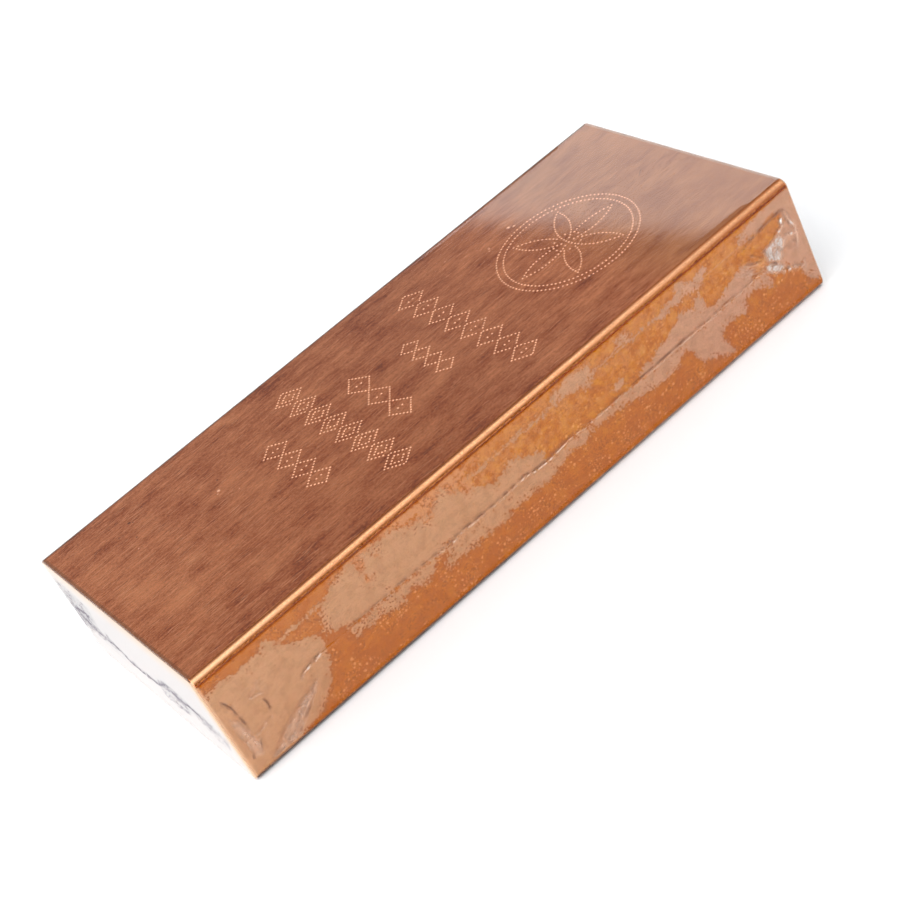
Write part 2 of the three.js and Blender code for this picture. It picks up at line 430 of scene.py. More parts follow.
# ---------------------------------------------------------------------------
# Where the film lies off the copper. Outlines on the front side, (x, z) in mm
# with z from the bar's underside: inside them there is air under the film.
# ---------------------------------------------------------------------------
GAPS = [
    [(-57.6, 16.8), (-55.2, 17.4), (-53, 17.1), (-51, 16.6), (-49, 16.8), (-47.1, 16.9), (-46.2, 17.8), (-45.5, 17.8),
     (-44.9, 16.8), (-44.5, 15.9), (-43.5, 14.9), (-42.2, 14), (-41, 13.5), (-39.5, 12.8), (-38.8, 11.9), (-38.6, 10.8),
     (-39, 9.2), (-39.5, 7.5), (-40, 6.5), (-41, 4.8), (-42.5, 3), (-44.5, 1.8), (-47.5, 1.0), (-48.5, -1.0), (-57.6, -1.0)],
    [(-38.8, 12.2), (-37.6, 13), (-37.8, 14.2), (-37, 15.5), (-35.5, 16.2), (-34.5, 17), (-33.5, 17.8), (-32, 18),
     (-28.5, 18), (-22.5, 18), (-20.5, 16.8), (-17.8, 15.9), (-16.5, 15.2), (-16, 16.4), (-14.5, 16.8), (-14, 18),
     (-13.2, 18), (-12.8, 16.5), (-12, 15.6), (-11, 15.1), (-9.5, 14), (-8.5, 14.2), (-7.5, 13.2), (-5.8, 12.4),
     (-4.5, 12.9), (-3, 13.5), (-2.5, 14.2), (-1.5, 13.2), (-0.5, 12.6), (0.8, 12), (2, 11.8), (2.8, 10.5), (2.9, 9.6),
     (1.5, 8.4), (-5.5, 8.0), (-12, 8.2), (-15.5, 9.3), (-20.5, 9.6), (-31, 9.75), (-33.5, 9.85), (-35, 10.2), (-36.5, 11.2), (-37.8, 11.8)],
    [(-35.2, 8.9), (-34.5, 7.5), (-33.2, 8), (-31.2, 7.6), (-29.8, 7.9), (-28.5, 7.2), (-27, 6.8), (-26, 6.4),
     (-25.8, 7.5), (-24, 8), (-22.5, 6.8), (-21, 7.2), (-19.5, 8.2), (-18.5, 8.8), (-17, 8.8), (-16.8, 8.1), (-18.2, 7.2),
     (-17.8, 6), (-16, 6.5), (-12.2, 6), (-11.5, 6.5), (-9.2, 6.2), (-6.5, 6), (-5.5, 6.8), (-4.5, 6.4), (1, 6.5),
     (4.2, 6.8), (5.5, 7.5), (7, 7.9), (9, 7.1), (11.2, 8.2), (14, 7.9), (18.5, 7.6), (20, 7.2), (21.8, 6.8), (24.8, 6.2),
     (28.5, 6.5), (29.5, 7.5), (30.8, 7.9), (31.8, 6.5), (31.8, 5.5), (32.5, 4.2), (34, 3.5), (35.8, 2.8), (36.5, 2.1),
     (38.2, 2), (37.5, 4), (37, 5), (37.5, 6), (39, 6.5), (41, 6.2), (42.5, 6), (43.5, 6.5), (43, 7.5), (45, 8.2),
     (46, 7.9), (47.2, 6.8), (48.5, 6.5), (49, 7.5), (48.2, 8.5), (48.5, 9.4), (18.5, 9.4), (-18.5, 9.4), (-35.2, 9.4)],
    [(7.2, 17), (8.5, 17.8), (10.8, 18.2), (15, 18.2), (15.2, 17.8), (14.8, 17), (15, 15.5), (14.2, 14.5), (13.5, 14.2),
     (12.5, 15), (11.8, 15.5), (9.5, 15.9), (7.2, 16.5)],
    [(16.5, 11.5), (17, 11.8), (18.5, 11.9), (19.2, 11.5), (19, 10.8), (17.8, 10.4), (16.8, 10.8)],
    [(28.2, 16), (29.2, 16.5), (31, 16.8), (32.5, 17.2), (33.2, 18.5), (34, 18.2), (34.8, 17.5), (36, 16.8), (37, 17.5),
     (39, 17.5), (38.5, 16.5), (37, 15.2), (36.5, 14.5), (36, 13.5), (37, 12.2), (36, 11.8), (36.8, 11.2), (38.5, 11.2),
     (41, 11.9), (43.5, 12.8), (44.8, 12.9), (45.8, 12.5), (46.2, 11.5), (46, 10.5), (45.5, 9.4), (44.0, 8.9), (23.5, 8.9), (21.8, 9.6),
     (21.8, 10.5), (22.8, 11), (24.5, 10.8), (26.8, 11.8), (28.5, 12), (29.5, 12.8), (30.8, 13), (32, 14), (33.2, 13.5),
     (34.5, 13.2), (35.2, 14), (35.8, 14.8), (34.5, 15.5), (33.2, 15.8), (32.8, 15), (31.8, 15.5), (28.5, 15.2)],
    [(45, 16.5), (45.5, 17.5), (46.8, 17.8), (49.8, 18.5), (54.8, 18.8), (57.6, 18.8), (57.6, 1.8), (56, 2.2),
     (55.2, 3), (54.2, 4.2), (54, 5), (54.5, 5.5), (53, 6.5), (51, 7.8), (49.2, 8.5), (48.5, 9.5), (50.4, 10.3),
     (51.2, 11.5), (52.3, 12.8), (53.4, 14.1), (54.2, 15.5), (54.0, 16.2), (53, 16.8), (51, 16.5),
     (49.5, 16), (48, 16.1), (46, 16)],
    [(20.2, 17.8), (21.2, 18), (22.8, 17.8), (23.2, 16.8), (22.5, 15.9), (21.5, 16.2), (20.5, 16.8)],
    [(-44, 16.4), (-36, 16.3), (-36, 15.9), (-44, 15.8)],
    [(-9, 16.25), (12, 16.3), (30, 16.2), (30, 15.9), (12, 15.95), (-9, 15.9)],
]
WET_SPOTS = [
    [(-30.1, 17.9), (-29.4, 18.1), (-28.6, 17.8), (-28.5, 16.5), (-29, 16.1), (-29.8, 16.5)],
    [(-29.5, 14.4), (-28.9, 14.6), (-28.4, 14.1), (-28.8, 13.6), (-29.2, 13.9)],
    [(-26.6, 16.4), (-26, 16.5), (-26, 15.6), (-26.4, 15.5)],
    [(-17.8, 15.6), (-16.8, 15.8), (-16.4, 14.9), (-17.4, 14.9)],
]


def polygon_depth(p, poly):
    """How deep each point lies inside the outline, negative outside, in mm."""
    q = np.array(poly, float)
    a, b = q, np.roll(q, -1, 0)
    ab = b - a
    t = ((p[:, None] - a[None]) * ab[None]).sum(2) / np.maximum((ab**2).sum(1), 1e-12)[None]
    near = a[None] + np.clip(t, 0, 1)[..., None] * ab[None]
    d = np.linalg.norm(p[:, None] - near, axis=2).min(1)
    x, y = p[:, :1], p[:, 1:]
    crosses = (a[None, :, 1] > y) != (b[None, :, 1] > y)
    with np.errstate(divide="ignore", invalid="ignore"):
        at = a[None, :, 0] + (y - a[None, :, 1]) / (b[None, :, 1] - a[None, :, 1]) * ab[None, :, 0]
    inside = (crosses & (x < at)).sum(1) % 2 == 1
    return np.where(inside, d, -d)


def gap_depth(p, normal_side):
    """Signed distance in mm into the region with air under the film, for points (x, y, z) in the bar's own frame."""
    out = np.full(len(p), 3.0)
    x, y, z = p[:, 0], p[:, 1], p[:, 2] - Z0
    front = normal_side == FRONT
    if front.any():
        q = np.stack([x[front], z[front]], 1)
        d = np.max([polygon_depth(q, g) for g in GAPS], axis=0)
        for w in WET_SPOTS:
            d = np.minimum(d, -polygon_depth(q, w))
        out[front] = d
    back = normal_side == BACK
    out[back] = 5 * fbm(x[back] / 19 + 4, z[back] / 8.5, 31, 3) + 0.5 - 1.1 * step(6, 2, z[back])
    under = normal_side == BOTTOM
    out[under] = 6 * fbm(x[under] / 21, y[under] / 15 + 3, 47, 3) - 0.3
    return np.clip(out, -3, 3)


def sides_of(p):
    """The flat side that each point lies nearest to."""
    d = np.stack([
        p[:, 2] - Z1, Z0 - p[:, 2], -HW - p[:, 1], p[:, 1] - HW, -HL - p[:, 0], p[:, 0] - HL,
    ], 1)
    return np.argmax(d, 1)


def set_float(o, name, values):
    a = o.data.attributes.new(name, "FLOAT", "POINT")
    a.data.foreach_set("value", np.asarray(values, np.float32))


# ---------------------------------------------------------------------------
# The film: creases as lines of (u, v) on a side, in mm
# ---------------------------------------------------------------------------
SEAM = [(-44.2, 8.6), (-43.2, 9.3), (-41.5, 9.7), (-39.9, 9.9), (-36, 9.85), (-30, 9.75), (-24, 9.7), (-18.6, 9.5), (-16, 9.4),
        (-13.5, 9.72), (-10.3, 9.5), (-6, 9.5), (-1.6, 9.85), (0.3, 9.38), (2.8, 9.26), (5.3, 9.5), (7.5, 9.75), (10.3, 9.5),
        (14, 9.42), (19, 9.5), (21.5, 9.4), (26, 9.42), (31, 9.5), (36.5, 9.45), (40.2, 9.62), (44, 9.5), (46.6, 9.85), (48.5, 9.7)]
# how milky and how shadowed the weld is along its length: (x, milk, shade)
SEAM_TONE = [(-44.2, 0.9, 0.5), (-40.4, 0.9, 0.2), (-39.4, 0.05, 0.05), (-36, 0.03, 0.10), (-34, 0.06, 0.35), (-20, 0.15, 0.65), (-18.2, 0.60, 0.75), (-16.6, 0.95, 0.75), (-14.6, 0.95, 0.70), (-12, 0.75, 0.80),
             (-10, 0.45, 0.95), (-4, 0.35, 0.9), (-2.6, 0.85, 0.75), (1, 0.95, 0.80), (6, 0.95, 0.60), (8, 0.8, 0.25), (12, 0.70, 0.10), (16, 0.45, 0.4), (20, 0.3, 0.8), (22, 0.4, 1.0), (31, 0.55, 1.0),
             (32, 0.4, 0.6), (36, 0.5, 0.9), (38, 0.2, 0.4), (40, 0.5, 0.6), (42, 0.6, 0.3), (44.5, 0.2, 0.3), (46.4, 0.85, 0.4), (48.5, 0.5, 0.6)]
# (points, height, half width, milk on the crest, shade beside it, +1 for shade on the left of the direction of travel)
FRONT_CREASES = [
    (SEAM, 0.13, 0.30, 1.0, 1.0, 1),
    # gathered film at the near end
    ([(-44.4, 8.4), (-43.4, 9.3), (-41.6, 9.45), (-39.8, 9.95)], 0.14, 0.30, 0.80, 0.4, 1),
    ([(-43.6, 6.4), (-45.6, 5.8), (-47.8, 4.9), (-49.6, 4.1), (-51.6, 2.7), (-53.2, 1.8)], 0.12, 0.40, 0.20, 0.35, -1),
    ([(-44.0, 5.0), (-45.2, 3.9), (-46.3, 3.2), (-47.2, 2.7), (-48.6, 1.4)], 0.12, 0.40, 0.20, 0.80, -1),
    ([(-43.6, 6.2), (-45.6, 5.3), (-48.0, 3.6), (-50.6, 1.6)], 0.10, 0.40, 0.40, 0.35, 1),
    ([(-44.6, 5.5), (-46.2, 4.5), (-48.4, 2.4), (-49.8, 1.4)], 0.10, 0.35, 0.35, 0.35, -1),
    ([(-55.2, 15.0), (-54.7, 14.0), (-54.2, 12.8), (-54.0, 10.8), (-53.8, 9.2), (-53.9, 7.8)], 0.14, 0.3, 0.08, 0.8, -1),
    ([(-55.2, 11.0), (-54.8, 9.1), (-54.7, 7.3), (-54.3, 5.9), (-54.8, 3.9)], 0.12, 0.4, 0.45, 0.3, 1),
    ([(-55.5, 9.2), (-55.4, 7.5), (-55.0, 6.1)], 0.12, 0.35, 0.40, 0.30, -1),
    ([(-53.8, 5.6), (-54.1, 4.6), (-54.6, 3.6)], 0.10, 0.3, 0.25, 0.70, 1),
    ([(-55.5, 5.3), (-55.7, 4.3), (-56.1, 3.6)], 0.08, 0.3, 0.1, 0.75, 1),
    ([(-50.45, 10.4), (-50.2, 9.4), (-50.4, 8.2)], 0.09, 0.3, 0.05, 0.8, 1),
    ([(-52.0, 12.1), (-51.0, 11.7), (-50.2, 11.5), (-49.6, 11.0)], 0.08, 0.45, 0.50, 0.15, -1),
    ([(-50.3, 7.2), (-51.8, 6.8), (-53.0, 6.4), (-54.0, 6.6)], 0.08, 0.4, 0.45, 0.2, -1),
    # a small glint on the near gather, painted as milk
    ([(-51.95, 7.05), (-51.55, 6.85)], 0.09, 0.3, 1.0, 0.2, 1),
    # gathered film at the far end
    ([(54.1, 14.4), (52.8, 13.8), (51.6, 13.2), (50.6, 12.4), (49.8, 11.3), (49.3, 10.2)], 0.17, 0.50, 1.05, 0.20, -1),
    # a glint at the tip of the far gather, painted as bright milk
    ([(53.9, 15.4), (53.6, 14.9), (53.5, 14.4)], 0.12, 0.50, 2.2, 0.0, 1),
    ([(55.9, 11.2), (54.0, 12.2), (53.2, 12.0), (52.4, 11.4), (51.4, 10.2)], 0.14, 0.80, 0.85, 0.15, -1),
    ([(54.5, 16.2), (54.8, 15.3), (55.0, 14.0), (55.5, 12.6), (55.4, 11.1), (55.0, 9.7), (54.6, 8.9)], 0.16, 0.66, 0.95, 0.25, -1),
    ([(45.4, 15.2), (47.6, 15.8), (50.6, 16.2), (52.3, 16.3), (54.2, 16.4), (54.8, 16.1), (55.25, 14.9), (55.6, 13.4)], 0.13, 0.35, 0.12, 0.60, 0),
    ([(54.2, 11.0), (54.6, 9.9), (54.4, 8.6)], 0.10, 0.45, 0.20, 0.45, 1),
    ([(53.3, 10.6), (53.8, 9.6), (53.8, 8.8)], 0.08, 0.45, 0.15, 0.35, 1),
    ([(48.9, 12.9), (49.1, 11.7), (49.4, 10.4)], 0.12, 0.35, 0.55, 0.45, 1),
    ([(49.5, 11.9), (50.0, 10.9), (49.9, 10.0)], 0.12, 0.35, 0.70, 0.35, 1),
    ([(50.9, 12.6), (51.0, 11.6), (50.4, 10.6)], 0.12, 0.35, 0.60, 0.45, 1),
    ([(49.2, 10.05), (49.9, 9.75), (50.5, 9.25)], 0.08, 0.30, 0.10, 0.85, 0),
    ([(48.8, 9.6), (49.5, 9.2), (50.4, 8.7), (51.3, 7.9)], 0.15, 0.45, 0.95, 0.40, 1),
    ([(49.3, 8.4), (50.2, 7.6), (51.2, 7.3), (52.7, 6.8), (53.9, 6.1), (55.2, 5.3)], 0.14, 0.75, 0.90, 0.30, 1),
    ([(55.3, 6.9), (54.9, 6.2), (54.6, 5.6)], 0.08, 0.40, 0.40, 0.2, 1),
    ([(45.0, 12.8), (46.6, 11.8), (47.8, 11.4), (48.7, 10.6)], 0.12, 0.40, 0.50, 0.55, 1),
    ([(44.7, 12.2), (46.1, 11.5), (47.5, 10.9), (48.3, 10.1)], 0.10, 0.40, 0.40, 0.50, -1),
    ([(46.4, 13.6), (47.5, 12.4), (48.4, 11.5)], 0.10, 0.35, 0.35, 0.40, 1),
    ([(45.4, 10.8), (47.0, 10.4), (48.5, 9.9)], 0.08, 0.3, 0.30, 0.55, -1),
    ([(51.8, 11.1), (51.9, 10.6), (52.0, 10.1)], 0.10, 0.35, 0.02, 1.0, 0),
]
END_CREASES = [  # on the near end, u = -y
    ([(-23.4, 16.6), (-22.3, 15.3), (-21.7, 13.2), (-21.0, 11.2), (-19.8, 9.1), (-17.4, 8.3), (-13.7, 8.1), (-11, 8.2), (-9, 7.6), (-7.5, 6.7), (-4, 6.6), (-1.5, 7.0), (1.0, 6.9), (2.6, 7.4), (3.8, 8.2), (5.4, 9.2), (6.9, 9.8), (8.4, 8.7), (10.4, 8.6), (12.6, 9.0), (15.0, 8.6), (17.6, 8.6), (19.4, 7.4), (21.6, 6.8), (23, 6.6)], 0.14, 0.32, 0.2, 0.9, 1),
    ([(-23.9, 13.4), (-22.6, 11.2), (-20.4, 9.6), (-18.2, 8.4), (-15, 7.2)], 0.12, 0.4, 0.1, 0.7, 1),
    ([(-23.6, 10.4), (-21.6, 11.2), (-20, 12.9), (-17.4, 14.4)], 0.14, 0.45, 0.1, 0.55, -1),
    ([(-22.8, 14.8), (-20.6, 13.2), (-19, 11.6), (-17.4, 9.2), (-15.2, 7.9)], 0.15, 0.45, 0.1, 0.6, 1),
    ([(-23.8, 7), (-21.6, 8.4), (-20.2, 10.6), (-19.6, 12.8)], 0.14, 0.4, 0.1, 0.6, -1),
    ([(-23.8, 4.6), (-21.6, 6.0), (-19.4, 8.4), (-17.8, 8.9)], 0.13, 0.4, 0.1, 0.55, 1),
    ([(-20.6, 7.4), (-22.0, 5.8), (-23.4, 3.2)], 0.12, 0.4, 0.1, 0.6, -1),
    ([(-22.9, 12.2), (-21.0, 11.9), (-19.0, 10.2), (-18.2, 11.6), (-16.6, 12.6)], 0.10, 0.35, 0.1, 0.7, 1),
    ([(-19.0, 7.2), (-16.0, 5.9), (-12.2, 5.4), (-8.0, 5.4)], 0.08, 0.3, 0.1, 0.45, -1),
    ([(0.6, 4.2), (2.6, 4.4), (3.8, 5.6), (5.2, 6.6), (7.4, 5.0), (9.0, 5.2), (10.9, 6.2)], 0.11, 0.4, 0.1, 0.7, 1),
    ([(5.6, 9.0), (8.6, 8.2), (11.6, 9.4), (13.4, 9.8)], 0.11, 0.4, 0.1, 0.6, -1),
    ([(1.4, 5.6), (3.4, 6.8), (4.6, 6.9)], 0.09, 0.3, 0.1, 0.8, 1),
    ([(8.0, 7.2), (10.4, 7.6), (12.6, 7.2), (14.8, 6.4)], 0.09, 0.3, 0.1, 0.45, -1),
    ([(15.0, 7.6), (17.2, 7.0), (18.6, 5.6), (18.2, 4.4)], 0.10, 0.35, 0.1, 0.6, 1),
    ([(17.4, 8.9), (18.8, 8.0), (20.4, 6.6), (21.6, 6.4)], 0.10, 0.35, 0.1, 0.6, -1),
    ([(19.4, 4.2), (21.0, 5.6), (22.6, 8.0)], 0.10, 0.35, 0.1, 0.35, 1),
]
def frayed(line, seed, wander, aside, part=(0.0, 1.0), **look):
    """A crease that strays from a line, as (points, height, half width, milk, shade, way)."""
    g = np.random.default_rng(seed)
    q = np.array(line, float)
    run = np.concatenate([[0], np.cumsum(np.linalg.norm(np.diff(q, axis=0), axis=1))])
    t = np.arange(run[-1] * part[0], run[-1] * part[1], 0.55)
    t = t + g.uniform(-0.15, 0.15, len(t))
    q = np.stack([np.interp(t, run, q[:, k]) for k in (0, 1)], 1)
    walk = g.normal(0, 1.35 * wander, q.shape) * (0.6, 1.0)
    return ([tuple(p) for p in q + walk + (0, aside)], look["height"], look["half"], 0.05, look["shade"], 0)


SCRIBBLE = END_CREASES[0][0]
END_CREASES = END_CREASES + [
    frayed(SCRIBBLE, 1, 0.16, -0.05, height=0.10, half=0.25, shade=1.0),
    frayed(SCRIBBLE, 2, 0.30, 0.45, (0.0, 0.50), height=0.08, half=0.25, shade=0.8),
    frayed(SCRIBBLE, 3, 0.30, -0.50, (0.60, 0.86), height=0.08, half=0.25, shade=0.9),
    frayed(SCRIBBLE, 4, 0.40, 0.7, (0.04, 0.36), height=0.08, half=0.25, shade=0.8),
    frayed(SCRIBBLE, 5, 0.40, -0.9, (0.08, 0.34), height=0.08, half=0.25, shade=0.7),
    frayed(SCRIBBLE, 6, 0.34, -0.8, (0.60, 0.74), height=0.08, half=0.25, shade=0.8),
    frayed(SCRIBBLE, 7, 0.30, 0.6, (0.58, 0.72), height=0.08, half=0.25, shade=0.8),
    frayed(SCRIBBLE, 8, 0.35, -0.5, (0.80, 0.99), height=0.06, half=0.25, shade=0.6),
]
# gathered zones: (outline, height of the crumple, milk, shade, direction of the gathers in degrees)
ZONES = {
    FRONT: [
        ([(-42.6, 6.9), (-44.0, 6.2), (-45.6, 5.8), (-47.7, 4.8), (-49.6, 4.1), (-51.6, 2.6), (-53.4, 1.6), (-52.8, 1.2), (-50.4, 1.2), (-48.6, 1.2), (-47.1, 2.7), (-45.7, 4.2), (-44.2, 5.0), (-43.0, 6.0)], 0.05, 0.49, 0.45, 38),
        ([(-55.6, 11.4), (-54.6, 10.0), (-54.2, 8.0), (-54.0, 6.4), (-53.5, 5.6), (-54.3, 3.2), (-55.3, 3.7), (-55.4, 5.7), (-55.5, 7.4), (-55.7, 9.1)], 0.05, 0.46, 0.35, 95),
        ([(52.4, 13.3), (52.9, 12.3), (52.8, 11.3), (51.9, 10.6), (51.8, 9.6), (50.9, 9.3), (50.2, 9.9), (49.2, 10.5), (49.0, 11.6), (49.0, 12.7), (50.2, 12.9), (51.3, 13.2)], 0.06, 0.87, 0.45, 50),
        ([(49.2, 10.3), (50.0, 9.6), (50.9, 9.0), (51.4, 8.1), (50.9, 7.5), (49.9, 8.0), (48.9, 8.7), (48.1, 9.4), (48.4, 10.1)], 0.06, 0.80, 0.40, 30),
        ([(48.9, 12.9), (49.4, 12.8), (49.3, 11.4), (49.2, 10.2), (48.4, 10.5), (48.4, 11.8)], 0.06, 0.40, 0.40, 80),
        ([(53.6, 14.2), (54.8, 14.8), (55.3, 12.8), (55.3, 10.6), (54.9, 8.8), (53.4, 9.6), (52.2, 11.0), (52.8, 12.4)], 0.05, 0.10, 0.25, -20),
        ([(44.0, 13.4), (46.2, 12.9), (48.6, 11.6), (48.8, 9.4), (46.4, 9.9), (44.4, 10.8), (43.2, 12.2)], 0.03, 0.22, 0.12, -25),
        ([(-51.8, 13.6), (-48.8, 13.6), (-48.6, 11.2), (-51.6, 11.2)], 0.03, 0.08, 0.08, 30),
    ],
    NEAR: [
        ([(-24.2, 16.4), (-21.4, 16.9), (-15.6, 16.6), (-12.8, 15.6), (-14.0, 12.0), (-16.6, 8.6), (-19.6, 7.0), (-24.2, 5.6)], 0.11, 0.25, 0.95, -50),
        ([(1.0, 5.0), (2.6, 8.2), (5.4, 10.4), (8.4, 10.6), (12.6, 10.0), (12.0, 7.4), (9.5, 5.0), (6.5, 4.2), (2.4, 4.0)], 0.08, 0.1, 0.7, 35),
        ([(12.4, 9.4), (16.0, 9.6), (20.6, 9.2), (22.4, 7.0), (21.0, 4.2), (17.4, 3.6), (14.0, 5.8)], 0.07, 0.1, 0.5, 35),
    ],
}
ZONES[FAR] = [([(-u, v) for u, v in o], h, m, sh, -t) for o, h, m, sh, t in ZONES[NEAR]]
CREASES = {FRONT: FRONT_CREASES, NEAR: END_CREASES, FAR: [([(-u, v) for u, v in l], h, w, m, sh, -d) for l, h, w, m, sh, d in END_CREASES]}


def track(p, line):
    """For each point: the signed distance from a line (left of its direction is positive), how far along it lies (0..1), and the line's length."""
    q = np.array(line, float)
    a, b = q[:-1], q[1:]
    ab = b - a
    d2 = p[:, None] - a[None]
    t = np.clip((d2 * ab[None]).sum(2) / (ab**2).sum(1)[None], 0, 1)
    off = d2 - t[..., None] * ab[None]
    d = np.linalg.norm(off, axis=2)
    k = d.argmin(1)
    rows = np.arange(len(p))
    left = np.sign(ab[k, 0] * d2[rows, k, 1] - ab[k, 1] * d2[rows, k, 0])
    seg = np.linalg.norm(ab, axis=1)
    run = (np.concatenate([[0], np.cumsum(seg)])[:-1][k] + t[rows, k] * seg[k]) / seg.sum()
    return d[rows, k] * np.where(left == 0, 1, left), run, seg.sum()


def crease_parts(p, item):
    """Height, milk and shade that one crease gives at the points p."""
    line, height, half, milk, shade, way = item
    dist, run, length = track(p, line)
    seed = abs(line[0][0]) * 1.7 + line[0][1]
    ends = np.clip(np.minimum(run, 1 - run) * (6 if line is not SEAM else 60), 0, 1) ** 0.7
    live = 0.72 + 0.5 * vnoise(run * length * 0.9, seed + 0 * run, 3)
    lift = height * ends * live * np.clip(1 - np.abs(dist) / half, 0, 1) ** 1.6
    if line is SEAM:
        x = p[:, 0]
        tone = np.array(SEAM_TONE)
        m, sh = np.interp(x, tone[:, 0], tone[:, 1]), np.interp(x, tone[:, 0], tone[:, 2])
    else:
        m, sh = milk, shade
    broken = np.clip(0.62 + 1.1 * vnoise(run * length * 1.9, seed + 5 + 0 * run, 9), 0.55 if line[0][0] > 50 else 0, 1)
    aside, wide = (way * 0.20, 0.42) if line is SCRIBBLE else (0.0, 0.24) if way == 0 else (way * 0.26, 0.14)
    if line is SEAM:
        aside, wide = 0.37, 0.12
        m = 0.85 * m * ends * broken * np.exp(-(((dist - 0.06) / 0.10) ** 2))
    else:
        m = 0.75 * m * ends * broken * np.exp(-((dist / (0.14 if half <= 0.45 else 0.45 * half)) ** 2))
    sh = sh * ends * np.clip(0.75 + 0.8 * vnoise(run * length * 1.4, seed + 11 + 0 * run, 12), 0, 1) * np.exp(-(((dist - aside) / wide) ** 2))
    return lift, m, sh


def gathers(p, turn, seed):
    """Sharp little ridges drawn out along a direction, 0..1, as in film gathered and shrunk flat."""
    a = math.radians(turn)
    x, y = p[:, 0] * math.cos(a) + p[:, 1] * math.sin(a), -p[:, 0] * math.sin(a) + p[:, 1] * math.cos(a)
    x, y = x + 0.6 * fbm(p[:, 0] / 1.6, p[:, 1] / 1.6, seed + 50, 3), y + 0.5 * fbm(p[:, 0] / 1.6 + 9, p[:, 1] / 1.6, seed + 60, 3)
    one = 1 - np.abs(vnoise(x / 2.2, y / 0.62, seed))
    two = 1 - np.abs(vnoise(x / 1.1 + 5, y / 0.34, seed + 1))
    return np.clip(one, 0, 1) ** 3 * 0.6 + np.clip(two, 0, 1) ** 3 * 0.4


def film_fields(side, p):
    """Height of the film's relief, and how milky and how shadowed it is, at points (u, v) of a side."""
    lift, milk, shade = np.zeros(len(p)), np.zeros(len(p)), np.zeros(len(p))
    for item in CREASES.get(side, ()):
        h, m, sh = crease_parts(p, item)
        lift, milk, shade = np.maximum(lift, h), np.maximum(milk, m), np.maximum(shade, sh)
    for k, (outline, height, m, sh, turn) in enumerate(ZONES.get(side, ())):
        inside = step(-0.45, 0.45 if m > 0.5 else 0.5, polygon_depth(p, outline))
        near = inside > 0
        if not near.any():
            continue
        g1, g2 = gathers(p[near], turn, 7 + 13 * k), gathers(p[near] + 31.0, turn, 77 + 13 * k)
        soft = 0.5 + 0.5 * fbm(p[near, 0] / 1.1, p[near, 1] / 1.1, 90 + k, 3)
        speck = 0.5 + 0.5 * fbm(p[near, 0] / 0.42, p[near, 1] / 0.42, 190 + k, 2)
        lift[near] = lift[near] + inside[near] * height * g1
        if m > 0.5:
            pattern = 0.70 + 0.50 * (soft - 0.5) + 0.20 * step(0.20, 0.75, g1) + 0.16 * (speck - 0.5)
        else:
            pattern = 0.16 + 0.50 * soft + 0.30 * step(0.25, 0.8, g1) + 0.35 * step(0.30, 0.70, speck)
        milk[near] = np.maximum(milk[near], m * inside[near] * np.clip(pattern, 0, 1))
        if side != FRONT:
            shade[near] = np.maximum(shade[near], 0.26 * sh * inside[near] * soft)
        shade[near] = np.maximum(shade[near], sh * inside[near] * step(0.30 if side != FRONT else 0.45, 0.62 if side != FRONT else 0.85, g2 + (0 if side != FRONT else 0.5 * (speck - 0.5))))
    if side in (FRONT, NEAR, FAR):
        lift = lift + 0.012 * (1 + fbm(p[:, 0] / 6, p[:, 1] / 5, 23, 3))
        top = 0.195
    elif side == BACK:
        lift = -0.028 * (0.6 + fbm(p[:, 0] / 6, p[:, 1] / 5, 27, 3))
        top = 0.0
    else:
        return lift, milk, shade
    u, v = p[:, 0], p[:, 1]
    if side in (FRONT, BACK):
        border = np.minimum(HL - np.abs(u), np.minimum(v - Z0 - EDGE_R, Z1 - EDGE_R - v))
    else:
        border = np.minimum(HW - 0.3 - np.abs(u), np.minimum(v - Z0 - 0.3, Z1 - 0.3 - v))
    return np.clip(lift, -0.035, top) * step(0.0, 1.0, border), milk, shade


def relief_of(side):
    return lambda p: film_fields(side, p)[0]


